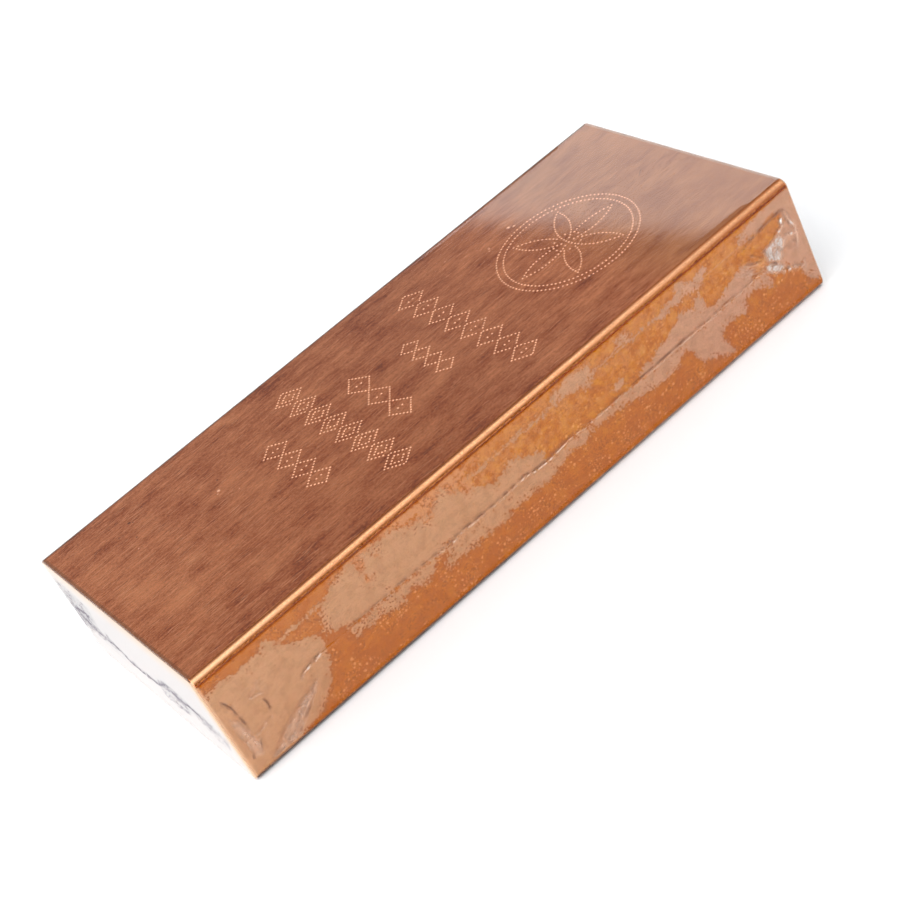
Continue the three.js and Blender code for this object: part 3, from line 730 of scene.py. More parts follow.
def detail_points(side, lo, hi):
    """Rows of points beside each crease, a fine mesh in the gathered zones, and a coarse one elsewhere."""
    lines = CREASES.get(side, ())
    if side == BACK:
        return grid(lo, hi, 2.0)
    rows = []
    for item in lines:
        q = along(item[0], 0.24)
        d = np.gradient(q, axis=0)
        n = np.stack([-d[:, 1], d[:, 0]], 1) / np.maximum(np.linalg.norm(d, axis=1), 1e-9)[:, None]
        way = item[5]
        for k, off in enumerate((0.0, -0.13 * way, 0.12 * way, 0.25 * way, 0.38 * way, -0.3 * way) + ((0.51 * way,) if item[0] is SEAM else ()) if way else (0.0, 0.15, -0.15, 0.3, -0.3)):
            rows.append(q[(k % 2) :] + n[(k % 2) :] * off)
    rows = np.vstack(rows)
    ok = (rows[:, 0] > lo[0] + 0.15) & (rows[:, 0] < hi[0] - 0.15) & (rows[:, 1] > lo[1] + 0.15) & (rows[:, 1] < hi[1] - 0.15)
    rows = rows[ok]
    fine, mid, coarse = grid(lo, hi, 0.21), grid(lo, hi, 0.45), grid(lo, hi, 0.95)

    def to_line(p):
        d = np.full(len(p), 9.0)
        for item in lines:
            d = np.minimum(d, np.abs(track(p, item[0])[0]))
        return d

    def to_zone(p):
        d = np.full(len(p), -9.0)
        for z in ZONES.get(side, ()):
            d = np.maximum(d, polygon_depth(p, z[0]))
        return d

    in_fine = lambda p: to_zone(p) > -0.5
    in_mid = lambda p: (to_line(p) < 1.1) | (to_zone(p) > -1.5)
    f = fine[in_fine(fine)]
    m = mid[in_mid(mid) & ~in_fine(mid)]
    c = coarse[~in_mid(coarse)]
    kept, cells = [], {}
    for p in np.vstack([rows, f, m, c]):  # no two points closer than a tenth of a millimetre
        key = (int(math.floor(p[0] / 0.1)), int(math.floor(p[1] / 0.1)))
        close = any(
            (p[0] - q[0]) ** 2 + (p[1] - q[1]) ** 2 < 0.0100
            for i in (-1, 0, 1) for j in (-1, 0, 1) for q in cells.get((key[0] + i, key[1] + j), ())
        )
        if not close:
            cells.setdefault(key, []).append(p)
            kept.append(p)
    return np.array(kept)


film = Shape()
FR = EDGE_R + SKIN
FILM_E = 0.4
fxs = spaced(-HL - SKIN + FILM_E, HL + SKIN - FILM_E, 0.9)
fys = spaced(-HW - SKIN + FR, HW + SKIN - FR, 0.9)
fzs = spaced(FR, BAR_H + 2 * SKIN - FR, 0.8)
outer = rounded_box(film, BAR_L + 2 * SKIN, BAR_W + 2 * SKIN, 0.0, BAR_H + 2 * SKIN, FR, FILM_E, fxs, fys, fzs, 9, 5)
n_outer = None

VENTS, VENT_R, VENT_N = [(38, 12), (-38, 12)], 1.5, 28


def ring_at(s, cx, cy, r, z, n):
    return [s.add((cx + r * math.cos(2 * math.pi * i / n), cy + r * math.sin(2 * math.pi * i / n), z)) for i in range(n)]


HLF, HWF = HL + SKIN, HW + SKIN
fill(film, TOP, outer[TOP], grid((-HLF + FILM_E, -HWF + FR), (HLF - FILM_E, HWF - FR), 2.0), BAR_H + 2 * SKIN)
vent_out = [ring_at(film, x, y, VENT_R, 0.0, VENT_N) for x, y in VENTS]
holes = [((x, -y), VENT_R, ring) for (x, y), ring in zip(VENTS, vent_out)]
under = grid((-HLF + FILM_E, -HWF + FR), (HLF - FILM_E, HWF - FR), 2.0)
under = thin_out(under, [(x, -y) for x, y in VENTS], VENT_R + 0.4)
fill(film, BOTTOM, outer[BOTTOM], under, 0.0, holes=holes)
for side in (FRONT, BACK):
    lo, hi = (-HLF + FILM_E, FR), (HLF - FILM_E, BAR_H + 2 * SKIN - FR)
    fill(film, side, outer[side], detail_points(side, lo, hi), HWF, relief=relief_of(side))
for side in (NEAR, FAR):
    lo, hi = (-HWF + FILM_E, FILM_E), (HWF - FILM_E, BAR_H + 2 * SKIN - FILM_E)
    pts = detail_points(side, lo, hi)
    du, dv = HWF - 0.15 - np.abs(pts[:, 0]), BAR_H / 2 + SKIN - 0.15 - np.abs(pts[:, 1] - (Z0 + Z1) / 2)
    corner = np.hypot(np.clip(FR - du, 0, None), np.clip(FR - dv, 0, None)) > FR - 0.45
    fill(film, side, outer[side], pts[~corner], HLF, relief=relief_of(side))
n_outer = len(film.faces)
print("film outer faces", n_outer, "verts", len(film.v))

# its inner face, turned to look at the copper
IN = 0.05
lining = Shape()
inner_edges = rounded_box(
    lining, BAR_L + 2 * IN, BAR_W + 2 * IN, Z0 - IN, Z1 + IN, EDGE_R + IN, 0.28,
    spaced(-HL, HL, 6), spaced(-HW + EDGE_R, HW - EDGE_R, 5), spaced(Z0 + EDGE_R, Z1 - EDGE_R, 4), 9, 3,
)
vent_in = [ring_at(lining, x, y, VENT_R, Z0 - IN, VENT_N) for x, y in VENTS]
holes = [((x, -y), VENT_R, ring) for (x, y), ring in zip(VENTS, vent_in)]
empty = np.zeros((0, 2))
under = thin_out(grid((-HL, -HW + EDGE_R), (HL, HW - EDGE_R), 5.0), [(x, -y) for x, y in VENTS], VENT_R + 1.2)
fill(lining, BOTTOM, inner_edges[BOTTOM], under, -(Z0 - IN), holes=holes)
fill(lining, TOP, inner_edges[TOP], empty, Z1 + IN)
for side, out in ((FRONT, HW + IN), (BACK, HW + IN), (NEAR, HL + IN), (FAR, HL + IN)):
    fill(lining, side, inner_edges[side], empty, out)
base = len(film.v)
film.v += lining.v
for f in lining.faces:
    film.face([base + i for i in f[::-1]], 99)
for a, b in zip(vent_out, vent_in):
    for i in range(VENT_N):
        j = (i + 1) % VENT_N
        film.face((a[j], a[i], base + b[i], base + b[j]), 98)
print("film faces", len(film.faces))


# ---------------------------------------------------------------------------
# Grain coordinates: u runs across the grain and v along it, both in mm
# ---------------------------------------------------------------------------
def perimeter(y, z, r, hw, z0, z1):
    """Distance round the section from the start of the underside, anticlockwise as seen from +X."""
    q = math.pi * r / 2
    w, h = 2 * (hw - r), z1 - z0 - 2 * r
    cy, cz = np.clip(y, -hw + r, hw - r), np.clip(z, z0 + r, z1 - r)
    a = np.arctan2(z - cz, y - cy)
    right, top, left = y > hw - r - 1e-7, z > z1 - r - 1e-7, y < -hw + r + 1e-7
    low = z < z0 + r + 1e-7
    s = y + hw - r
    s = np.where(right & low, w + (a + math.pi / 2) * r, s)
    s = np.where(right & ~low & ~top, w + q + z - z0 - r, s)
    s = np.where(right & top, w + q + h + a * r, s)
    s = np.where(top & ~right & ~left, w + 2 * q + h + (hw - r - y), s)
    s = np.where(top & left, 2 * w + 2 * q + h + (a - math.pi / 2) * r, s)
    s = np.where(left & ~top & ~low, 2 * w + 3 * q + h + (z1 - r - z), s)
    b = np.where(a < 0, a + 2 * math.pi, a)
    s = np.where(left & low, 2 * w + 3 * q + 2 * h + (b - math.pi) * r, s)
    return s


def grain_uv(o, s, r, hw, z0, z1):
    v = np.array(s.v, float)
    around = perimeter(v[:, 1], v[:, 2], r, hw, z0, z1)
    total = 4 * (hw - r) + 2 * (z1 - z0 - 2 * r) + 2 * math.pi * r
    layer = o.data.uv_layers.new(name="grain")
    out = np.zeros((len(o.data.loops), 2), np.float32)
    k = 0
    for f, side in zip(s.faces, s.side):
        n = len(f)
        if side in (NEAR, FAR):
            for i in range(n):
                out[k + i] = (v[f[i], 2] + 400 + 60 * side, v[f[i], 1])
        else:
            a = [around[i] for i in f]
            if max(a) - min(a) > total / 2:
                a = [q + total if q < total / 2 else q for q in a]
            for i in range(n):
                out[k + i] = (a[i], v[f[i], 0])
        k += n
    layer.data.foreach_set("uv", out.ravel())


# ---------------------------------------------------------------------------
# Shader nodes, written as arithmetic
# ---------------------------------------------------------------------------
class Net:
    def __init__(self, name):
        self.m = bpy.data.materials.new(name)
        self.m.use_nodes = True
        self.t = self.m.node_tree
        self.t.nodes.clear()
        self.out = self.node("OutputMaterial")

    def node(self, kind, **props):
        n = self.t.nodes.new("ShaderNode" + kind)
        for k, v in props.items():
            setattr(n, k, v)
        return n

    def put(self, socket, value):
        if isinstance(value, bpy.types.NodeSocket):
            self.t.links.new(value, socket)
        elif isinstance(value, (tuple, list)) and len(value) == 3 and len(socket.default_value) == 4:
            socket.default_value = (*value, 1)
        else:
            socket.default_value = value

    def math(self, op, a, b=0.0, c=0.0, clamp=False):
        n = self.node("Math", operation=op, use_clamp=clamp)
        for s, v in zip(n.inputs, (a, b, c)):
            self.put(s, v)
        return n.outputs[0]

    def add(self, a, b):
        return self.math("ADD", a, b)

    def mul(self, a, b, clamp=False):
        return self.math("MULTIPLY", a, b, clamp=clamp)

    def ramp(self, x, lo, hi, a=0.0, b=1.0, kind="SMOOTHSTEP"):
        n = self.node("MapRange", interpolation_type=kind, clamp=True) if kind == "LINEAR" else self.node("MapRange", interpolation_type=kind)
        for s, v in zip(n.inputs[:5], (x, lo, hi, a, b)):
            self.put(s, v)
        return n.outputs[0]

    def stops(self, x, table):
        """A run of colours: table is [(place, colour), ...]."""
        n = self.node("ValToRGB")
        self.put(n.inputs[0], x)
        ramp = n.color_ramp
        for i, (place, c) in enumerate(table):
            e = ramp.elements[i] if i < 2 else ramp.elements.new(place)
            e.position = place
            e.color = (*c, 1)
        return n.outputs[0]

    def colour(self, fac, a, b, blend="MIX"):
        n = self.node("Mix", data_type="RGBA", blend_type=blend, clamp_factor=True)
        self.put(n.inputs[0], fac)
        self.put(n.inputs[6], a)
        self.put(n.inputs[7], b)
        return n.outputs[2]

    def value(self, fac, a, b):
        n = self.node("Mix", data_type="FLOAT", clamp_factor=True)
        self.put(n.inputs[0], fac)
        self.put(n.inputs[2], a)
        self.put(n.inputs[3], b)
        return n.outputs[0]

    def xyz(self, x=0.0, y=0.0, z=0.0):
        n = self.node("CombineXYZ")
        for s, v in zip(n.inputs, (x, y, z)):
            self.put(s, v)
        return n.outputs[0]

    def noise(self, vec, scale=1.0, detail=2.0, rough=0.5, flat=True):
        n = self.node("TexNoise", noise_dimensions="2D" if flat else "3D")
        self.put(n.inputs["Vector"], vec)
        self.put(n.inputs["Scale"], scale)
        n.inputs["Detail"].default_value = detail
        n.inputs["Roughness"].default_value = rough
        return n.outputs[0]

    def voronoi(self, vec, scale=1.0, feature="F1", randomness=1.0):
        n = self.node("TexVoronoi", feature=feature, voronoi_dimensions="2D")
        self.put(n.inputs["Vector"], vec)
        self.put(n.inputs["Scale"], scale)
        n.inputs["Randomness"].default_value = randomness
        return n

    def attribute(self, name):
        return self.node("Attribute", attribute_name=name).outputs["Fac"]

    def bump(self, height, distance, strength=1.0, normal=None):
        n = self.node("Bump")
        self.put(n.inputs["Height"], height)
        n.inputs["Distance"].default_value = distance
        n.inputs["Strength"].default_value = strength
        if normal is not None:
            self.put(n.inputs["Normal"], normal)
        return n.outputs[0]


def stretched(net, u, v, a, b, du=0.0, dv=0.0):
    """Coordinates for streaks: a per mm across the grain and b per mm along it."""
    return net.xyz(net.math("MULTIPLY_ADD", u, a, du), net.math("MULTIPLY_ADD", v, b, dv))


def off(net, x, k, middle=0.5):
    """k times how far x lies from the middle."""
    return net.math("MULTIPLY_ADD", x, k, -middle * k)


def grain_coords(n):
    uv = n.node("UVMap", uv_map="grain").outputs[0]
    sep = n.node("SeparateXYZ")
    n.put(sep.inputs[0], uv)
    return uv, sep.outputs[0], sep.outputs[1]


def finish_copper(n, base, rough, height, depth):
    """height is in units of depth, which is in mm."""
    nb = n.node("Bump")
    n.put(nb.inputs["Height"], n.mul(height, depth * 0.001))
    nb.inputs["Distance"].default_value = 1.0
    nb.inputs["Strength"].default_value = 1.0
    p = n.node("BsdfPrincipled")
    n.put(p.inputs["Base Color"], base)
    p.inputs["Metallic"].default_value = 1.0
    n.put(p.inputs["Roughness"], rough)
    p.inputs["Anisotropic"].default_value = 0.75
    tan = n.node("Tangent", direction_type="UV_MAP", uv_map="grain")
    n.put(p.inputs["Tangent"], tan.outputs[0])
    n.put(p.inputs["Normal"], nb.outputs[0])
    n.put(n.out.inputs[0], p.outputs[0])
    return n.m


def copper_top():
    """Ground and brushed copper, bare of tarnish, with its dents and the rolled edges, whose highlight is partly
    painted into their colour; glints on the dots, a reflection towards the far end, a highlight along the far short
    edge and lines of shade along the near and back edges are painted too.
    """
    n = Net("brushed copper")
    uv, u, v = grain_coords(n)
    dot, roll = n.attribute("dot"), n.attribute("roll")
    fine = n.noise(stretched(n, u, v, 4.8, 0.40), detail=3.0, rough=0.62)
    mid = n.noise(stretched(n, u, v, 1.3, 0.17, 7.0), detail=3.0, rough=0.6)
    patch = n.noise(stretched(n, u, v, 0.24, 0.12, 3.0, 9.0), detail=4.0, rough=0.62)
    dash = n.noise(stretched(n, u, v, 3.0, 0.62, 31.0), detail=1.0, rough=0.5)
    grit = n.noise(stretched(n, u, v, 3.6, 2.2, 71.0), detail=2.0, rough=0.6)
    tone = n.add(n.add(n.mul(off(n, fine, 0.66), n.ramp(v, -40.0, 0.0, 1.0, 0.70)), off(n, mid, 0.80)), n.add(off(n, patch, 1.5), n.add(off(n, dash, 0.3), n.mul(off(n, grit, 1.0), n.ramp(v, -10.0, 38.0, 1.0, 0.5)))))
    # towards the far end the grain and scratches fade and the colour turns paler: a painted reflection of the white
    # card lies over it there
    tone = n.mul(tone, n.ramp(v, 24.0, 44.0, 1.0, 0.55))
    tone = n.add(tone, n.add(n.attribute("polish_and_shade"), 0.5))
    base = n.colour(n.ramp(tone, 0.0, 1.0, kind="LINEAR"), TOP_DARK, TOP_LIGHT)
    base = n.colour(n.ramp(tone, 0.16, 0.02, 0.0, 0.6), base, TOP_SCORE)
    base = n.colour(n.ramp(v, 26.0, 42.0), base, n.colour(1.0, base, (0.97, 1.17, 1.12), "MULTIPLY"))
    for turn, shift, light in ((0.09, 3.0, True), (-0.07, 41.0, True), (0.04, 77.0, False)):
        scratch = n.noise(stretched(n, n.math("MULTIPLY_ADD", v, turn, u), v, 4.6, 0.20, shift), detail=2.0, rough=0.7)
        if light:
            base = n.colour(n.mul(n.ramp(n.add(scratch, n.ramp(v, -20.0, -40.0, 0.0, 0.035)), 0.65, 0.74, 0.0, 0.65), n.ramp(v, 20.0, 44.0, 1.0, 0.4)), base, (0.92, 0.42, 0.20))
        else:
            base = n.colour(n.mul(n.ramp(scratch, 0.67, 0.76, 0.0, 0.70), n.ramp(v, 20.0, 44.0, 1.0, 0.4)), base, TOP_SCORE)
    # a dark line of painted shade along the near short edge
    base = n.colour(n.ramp(n.add(v, off(n, grit, 0.25)), -56.25, -56.55, 0.0, 0.50), base, (0.20, 0.070, 0.020))
    # painted shade: a dark line along the back edge of the top
    base = n.colour(n.ramp(n.attribute("polish_and_shade"), -0.35, -0.65, 0.0, 0.85), base, (0.13, 0.075, 0.036))
    # a painted highlight: a pale band along the far short edge
    base = n.colour(n.ramp(v, 56.35, 56.65, 0.0, 0.8), base, (0.66, 0.43, 0.33))
    # the rolled edges: their highlight is partly painted into their colour, bright above and dark below, broken by worn
    # nicks; it is painted brighter towards the near end and dimmer towards the far end
    nick = n.noise(stretched(n, u, v, 5.0, 2.6, 53.0), detail=3.0, rough=0.65)
    wear_and_highlight = n.add(roll, n.add(off(n, fine, 0.10), n.add(off(n, mid, 0.08), off(n, nick, 0.28))))
    edge = n.stops(wear_and_highlight, ROLL_HIGHLIGHT_STOPS)
    edge = n.colour(1.0, edge, n.colour(n.ramp(n.add(nick, off(n, fine, 0.7)), 0.2, 0.8, kind="LINEAR"), (0.74, 0.69, 0.64), (1.16, 1.19, 1.22)), "MULTIPLY")
    edge = n.colour(n.mul(n.ramp(v, -30.0, -54.0, 0.0, 0.25), n.mul(n.ramp(roll, 0.30, 0.5), n.ramp(roll, 0.80, 0.66))), edge, (1.0, 0.74, 0.46))
    edge = n.colour(n.ramp(v, 30.0, 50.0), edge, n.colour(1.0, edge, n.colour(n.ramp(roll, 0.34, 0.52), (0.84, 0.76, 0.80), (0.97, 0.93, 0.82)), "MULTIPLY"))
    base = n.colour(n.ramp(roll, 0.999, 0.93), base, edge)
    # the dots and light nicks: bright metal with a painted glint
    base = n.colour(n.ramp(dot, 0.2, 0.9), base, DOT_METAL_AND_GLINT)
    base = n.colour(n.ramp(dot, -0.2, -0.9), base, (0.20, 0.055, 0.018))
    rough = n.ramp(tone, 0.2, 0.8, 0.40, 0.31, kind="LINEAR")
    rough = n.value(n.ramp(roll, 0.999, 0.93), rough, n.ramp(v, 5.0, 45.0, 0.27, 0.36))
    rough = n.value(n.ramp(dot, 0.2, 0.9), rough, 0.30)
    return finish_copper(n, base, rough, n.add(n.mul(fine, 0.55), n.mul(mid, 0.9)), 0.005)


def copper_end():
    """The two ends: sawn, then ground smooth; highlights and a line of shade are painted on their chamfers."""
    n = Net("ground copper ends")
    uv, u, v = grain_coords(n)
    fine = n.noise(stretched(n, u, v, 4.2, 0.5), detail=3.0, rough=0.6)
    mid = n.noise(stretched(n, u, v, 0.8, 0.2, 7.0), detail=3.0, rough=0.6)
    tone = n.add(n.add(off(n, fine, 1.2), off(n, mid, 1.6)), 0.5)
    base = n.colour(n.ramp(tone, 0.0, 1.0, kind="LINEAR"), TOP_DARK, TOP_LIGHT)
    # a highlight painted on the chamfers along the sides, across the far top and at the front top corner
    rim_highlight = n.attribute("rim_highlight")
    base = n.colour(rim_highlight, base, (0.82, 0.48, 0.28))
    # a dark line of painted shade along the top of the near end
    at = n.node("SeparateXYZ")
    n.put(at.inputs[0], n.node("TexCoord").outputs["Object"])
    top_edge = n.mul(n.ramp(at.outputs[0], -0.056995, -0.056985), n.mul(n.ramp(at.outputs[0], 0.001, -0.001), n.ramp(at.outputs[2], (Z1 - 0.30) * 0.001, (Z1 - 0.22) * 0.001)))
    base = n.colour(top_edge, base, (0.19, 0.075, 0.035))
    rough = n.value(rim_highlight, n.ramp(tone, 0.2, 0.8, 0.38, 0.30, kind="LINEAR"), 0.25)
    return finish_copper(n, base, rough, n.add(n.mul(fine, 0.6), n.mul(mid, 0.9)), 0.008)


def copper_flank():
    """The long sides and the underside, where the film has wetted onto the metal in places and stands off it in others.
    Where it stands off, the film's reflections are painted in as a paler colour; shade under the upper rolled edge and
    on the lower one, and a highlight at the ends, are painted too.
    """
    n = Net("brushed copper under film")
    uv, u, v = grain_coords(n)
    gap, amber, rosy, level = n.attribute("gap"), n.attribute("amber"), n.attribute("rosy"), n.attribute("level")
    fine = n.noise(stretched(n, u, v, 4.2, 0.30), detail=3.0, rough=0.6)
    grain = n.ramp(fine, 0.3, 0.7, kind="LINEAR")
    # the edge of the wetted patches: scalloped, and ragged at every size
    lobes = n.noise(uv, scale=0.55, detail=2.0, rough=0.6)
    ragged = n.noise(uv, scale=1.25, detail=3.0, rough=0.80)
    torn = n.noise(uv, scale=3.2, detail=1.0, rough=0.6)
    cells = n.voronoi(uv, scale=2.1).outputs["Distance"]
    rough_edge = n.mul(n.add(off(n, ragged, 2.9), off(n, torn, 0.9)), n.mul(n.ramp(v, -42.0, -32.0, 0.42, 1.0), n.ramp(v, 8.0, 26.0, 1.0, 0.66)))
    edge = n.add(n.add(gap, off(n, lobes, 1.0)), n.add(rough_edge, off(n, cells, -0.6, 0.40)))
    # close to the edges the film also touches in little spots, some way in
    tiny = n.voronoi(uv, scale=1.9)
    touch = n.math("LESS_THAN", n.add(tiny.outputs["Distance"], off(n, torn, 0.8)), n.ramp(edge, 0.25, 1.4, 0.35, 0.0, kind="LINEAR"))
    touch = n.mul(touch, n.ramp(n.noise(uv, scale=0.42, detail=2.0), 0.50, 0.56))
    air = n.mul(n.ramp(edge, -0.02, 0.03), n.math("SUBTRACT", 1.0, touch))
    fringe = n.math("MAXIMUM", n.ramp(edge, -0.12, -0.03), n.mul(touch, 0.8))
    halo = n.ramp(edge, -0.9, -0.1)
    # colour of the metal seen through wetted film
    cloud = n.noise(uv, scale=0.30, detail=2.0, rough=0.6)
    wet = n.colour(n.math("ADD", amber, off(n, cloud, 1.6), clamp=True), WET_RED, WET_AMBER)
    wet = n.colour(n.ramp(n.add(grain, off(n, cloud, 1.2)), 0.15, 1.0, 0.0, 0.25), wet, WET_STREAK)
    # blotches of gold and of brown, and in the upper part of the side of salmon
    blotch = n.noise(uv, scale=0.60, detail=3.0, rough=0.66)
    wet = n.colour(n.mul(n.ramp(blotch, 0.50, 0.66), n.ramp(amber, 0.1, 0.8, 0.06, 0.50)), wet, WET_GOLD)
    wet = n.colour(n.mul(n.ramp(blotch, 0.46, 0.34), n.ramp(amber, 0.1, 0.8, 0.20, 0.40)), wet, (0.390, 0.095, 0.006))
    salmon = n.noise(uv, scale=0.90, detail=4.0, rough=0.76)
    salmon = n.mul(n.ramp(n.add(n.add(salmon, off(n, cloud, 0.4)), n.ramp(level, 13.0, 16.5, 0.0, 0.055)), 0.49, 0.53), n.mul(n.ramp(level, 9.0, 13.5, 0.0, 0.85), n.mul(n.ramp(amber, 0.45, 0.95, 1.0, 0.38), n.ramp(v, -36.0, -30.0, 0.15, 1.0))))
    wet = n.colour(salmon, wet, WET_SALMON)
    wet = n.colour(n.mul(halo, 0.20), wet, WET_RIM)
    wet = n.colour(n.mul(n.mul(fringe, n.ramp(cloud, 0.35, 0.6, 0.30, 0.80)), n.ramp(amber, 0.2, 0.7, 1.0, 0.40)), wet, WET_RIM)
    # pale spots, where small bubbles are left under the film, and golden flecks
    crowd = n.add(n.noise(uv, scale=0.20, detail=3.0, rough=0.62), n.ramp(v, -38.0, -48.0, 0.0, -0.22))

    def bubbles(scale, radius, share, strength):
        """Round and ragged spots, radius in mm, thrown on a share of the cells."""
        cell = n.voronoi(uv, scale=scale)
        pick = n.node("SeparateColor")
        n.put(pick.inputs[0], cell.outputs["Color"])
        here = n.math("LESS_THAN", pick.outputs[0], share)
        size = n.math("MULTIPLY_ADD", pick.outputs[1], radius * scale, radius * scale * 0.45)
        away = n.math("SUBTRACT", n.math("MULTIPLY_ADD", off(n, fine, 1.0), 0.4 * radius * scale, cell.outputs["Distance"]), size)
        return n.mul(n.mul(n.ramp(away, 0.03, -0.03), here), strength)

    spots = bubbles(1.25, 0.17, n.mul(n.ramp(crowd, 0.42, 0.62, 0.05, 0.50), n.ramp(amber, 0.3, 0.8, 1.0, 0.7)), 0.72)
    spots = n.math("MAXIMUM", n.mul(spots, n.ramp(level, 10.0, 13.0, 1.0, 0.45)), bubbles(2.3, 0.105, n.mul(n.ramp(crowd, 0.44, 0.64, 0.04, 0.42), n.ramp(level, 10.0, 13.0, 1.0, 0.30)), 0.55))
    wet = n.colour(spots, wet, n.colour(amber, (0.66, 0.285, 0.105), (0.72, 0.345, 0.100)))
    # a fine straight line along the side, near its upper edge
    line = n.ramp(n.math("ABSOLUTE", n.add(level, -16.05)), 0.17, 0.06, 0.0, 1.0)
    line = n.mul(line, n.ramp(ragged, 0.40, 0.56, 0.15, 0.70))
    # colour of the metal seen across an air gap: paler, as the film's reflections over the gap are painted into it
    pale = n.colour(rosy, GAP_NEAR, GAP_FAR)
    pale = n.colour(n.ramp(n.noise(uv, scale=0.8, detail=2.0, rough=0.6), 0.42, 0.60, 0.0, 0.45), pale, n.colour(1.0, pale, (1.05, 0.97, 1.02), "MULTIPLY"))
    pale = n.colour(n.ramp(n.add(grain, off(n, cloud, 1.4)), 0.1, 1.1, 0.0, 0.5), pale, n.colour(rosy, GAP_NEAR_LIGHT, GAP_FAR_LIGHT))
    pale = n.colour(n.ramp(n.noise(uv, scale=0.55, detail=2.0, rough=0.62), 0.40, 0.66, 0.0, 0.5), pale, n.colour(1.0, pale, (0.82, 0.80, 0.74), "MULTIPLY"))
    base = n.colour(n.math("MAXIMUM", air, n.mul(line, 0.8)), wet, pale)
    # a dark band of painted shade just under the upper rolled edge of the front side
    under = n.mul(n.ramp(n.add(level, off(n, fine, 0.20)), 18.50, 18.84), n.ramp(level, 30.0, 29.0, 0.0, 0.95))
    base = n.colour(n.mul(under, n.ramp(v, 5.0, 40.0, 1.0, 0.6)), base, (0.31, 0.062, 0.006))
    # a highlight painted in a band along the ends of the long sides, strong at the near end and faint at the far end
    base = n.colour(n.math("MAXIMUM", n.ramp(v, -56.3, -56.95, 0.0, 0.75), n.ramp(v, 56.4, 56.95, 0.0, 0.15)), base, (0.84, 0.53, 0.33))
    # painted shade on the lower rolled edge where it turns under, strongest at the near end
    base = n.colour(n.mul(n.ramp(n.add(level, off(n, torn, 0.6)), 1.05, 0.55, 0.0, 0.80), n.ramp(v, -25.0, 30.0, 1.0, 0.35)), base, (0.15, 0.048, 0.028))
    return finish_copper(n, base, 0.17, n.mul(fine, 1.0), 0.005)


TOP_DARK, TOP_LIGHT, TOP_SCORE = (0.385, 0.066, 0.001), (0.790, 0.280, 0.104), (0.22, 0.04, 0.006)
# tones across a rolled edge, from its foot (0) to the flat of the top (1): partly a painted highlight
ROLL_HIGHLIGHT_STOPS = [
    (0.0, (0.29, 0.050, 0.002)), (0.12, (0.30, 0.053, 0.003)), (0.19, (0.62, 0.165, 0.022)), (0.25, (0.98, 0.378, 0.125)), (0.32, (0.98, 0.390, 0.145)),
    (0.40, (0.88, 0.345, 0.135)), (0.50, (0.74, 0.330, 0.130)), (0.60, (0.82, 0.385, 0.175)), (0.68, (0.98, 0.490, 0.245)), (0.78, (0.98, 0.420, 0.195)), (0.87, (0.90, 0.320, 0.130)), (0.97, (0.50, 0.150, 0.040)),
]
DOT_METAL_AND_GLINT = (0.95, 0.50, 0.30)
WET_RED, WET_AMBER, WET_RIM = (0.455, 0.116, 0.006), (0.510, 0.148, 0.002), (0.350, 0.088, 0.012)
WET_STREAK, WET_GOLD, WET_SALMON = (0.555, 0.203, 0.024), (0.62, 0.248, 0.008), (0.600, 0.258, 0.105)
GAP_NEAR, GAP_NEAR_LIGHT = (0.535, 0.266, 0.124), (0.600, 0.311, 0.160)
GAP_FAR, GAP_FAR_LIGHT = (0.525, 0.265, 0.155), (0.585, 0.315, 0.200)


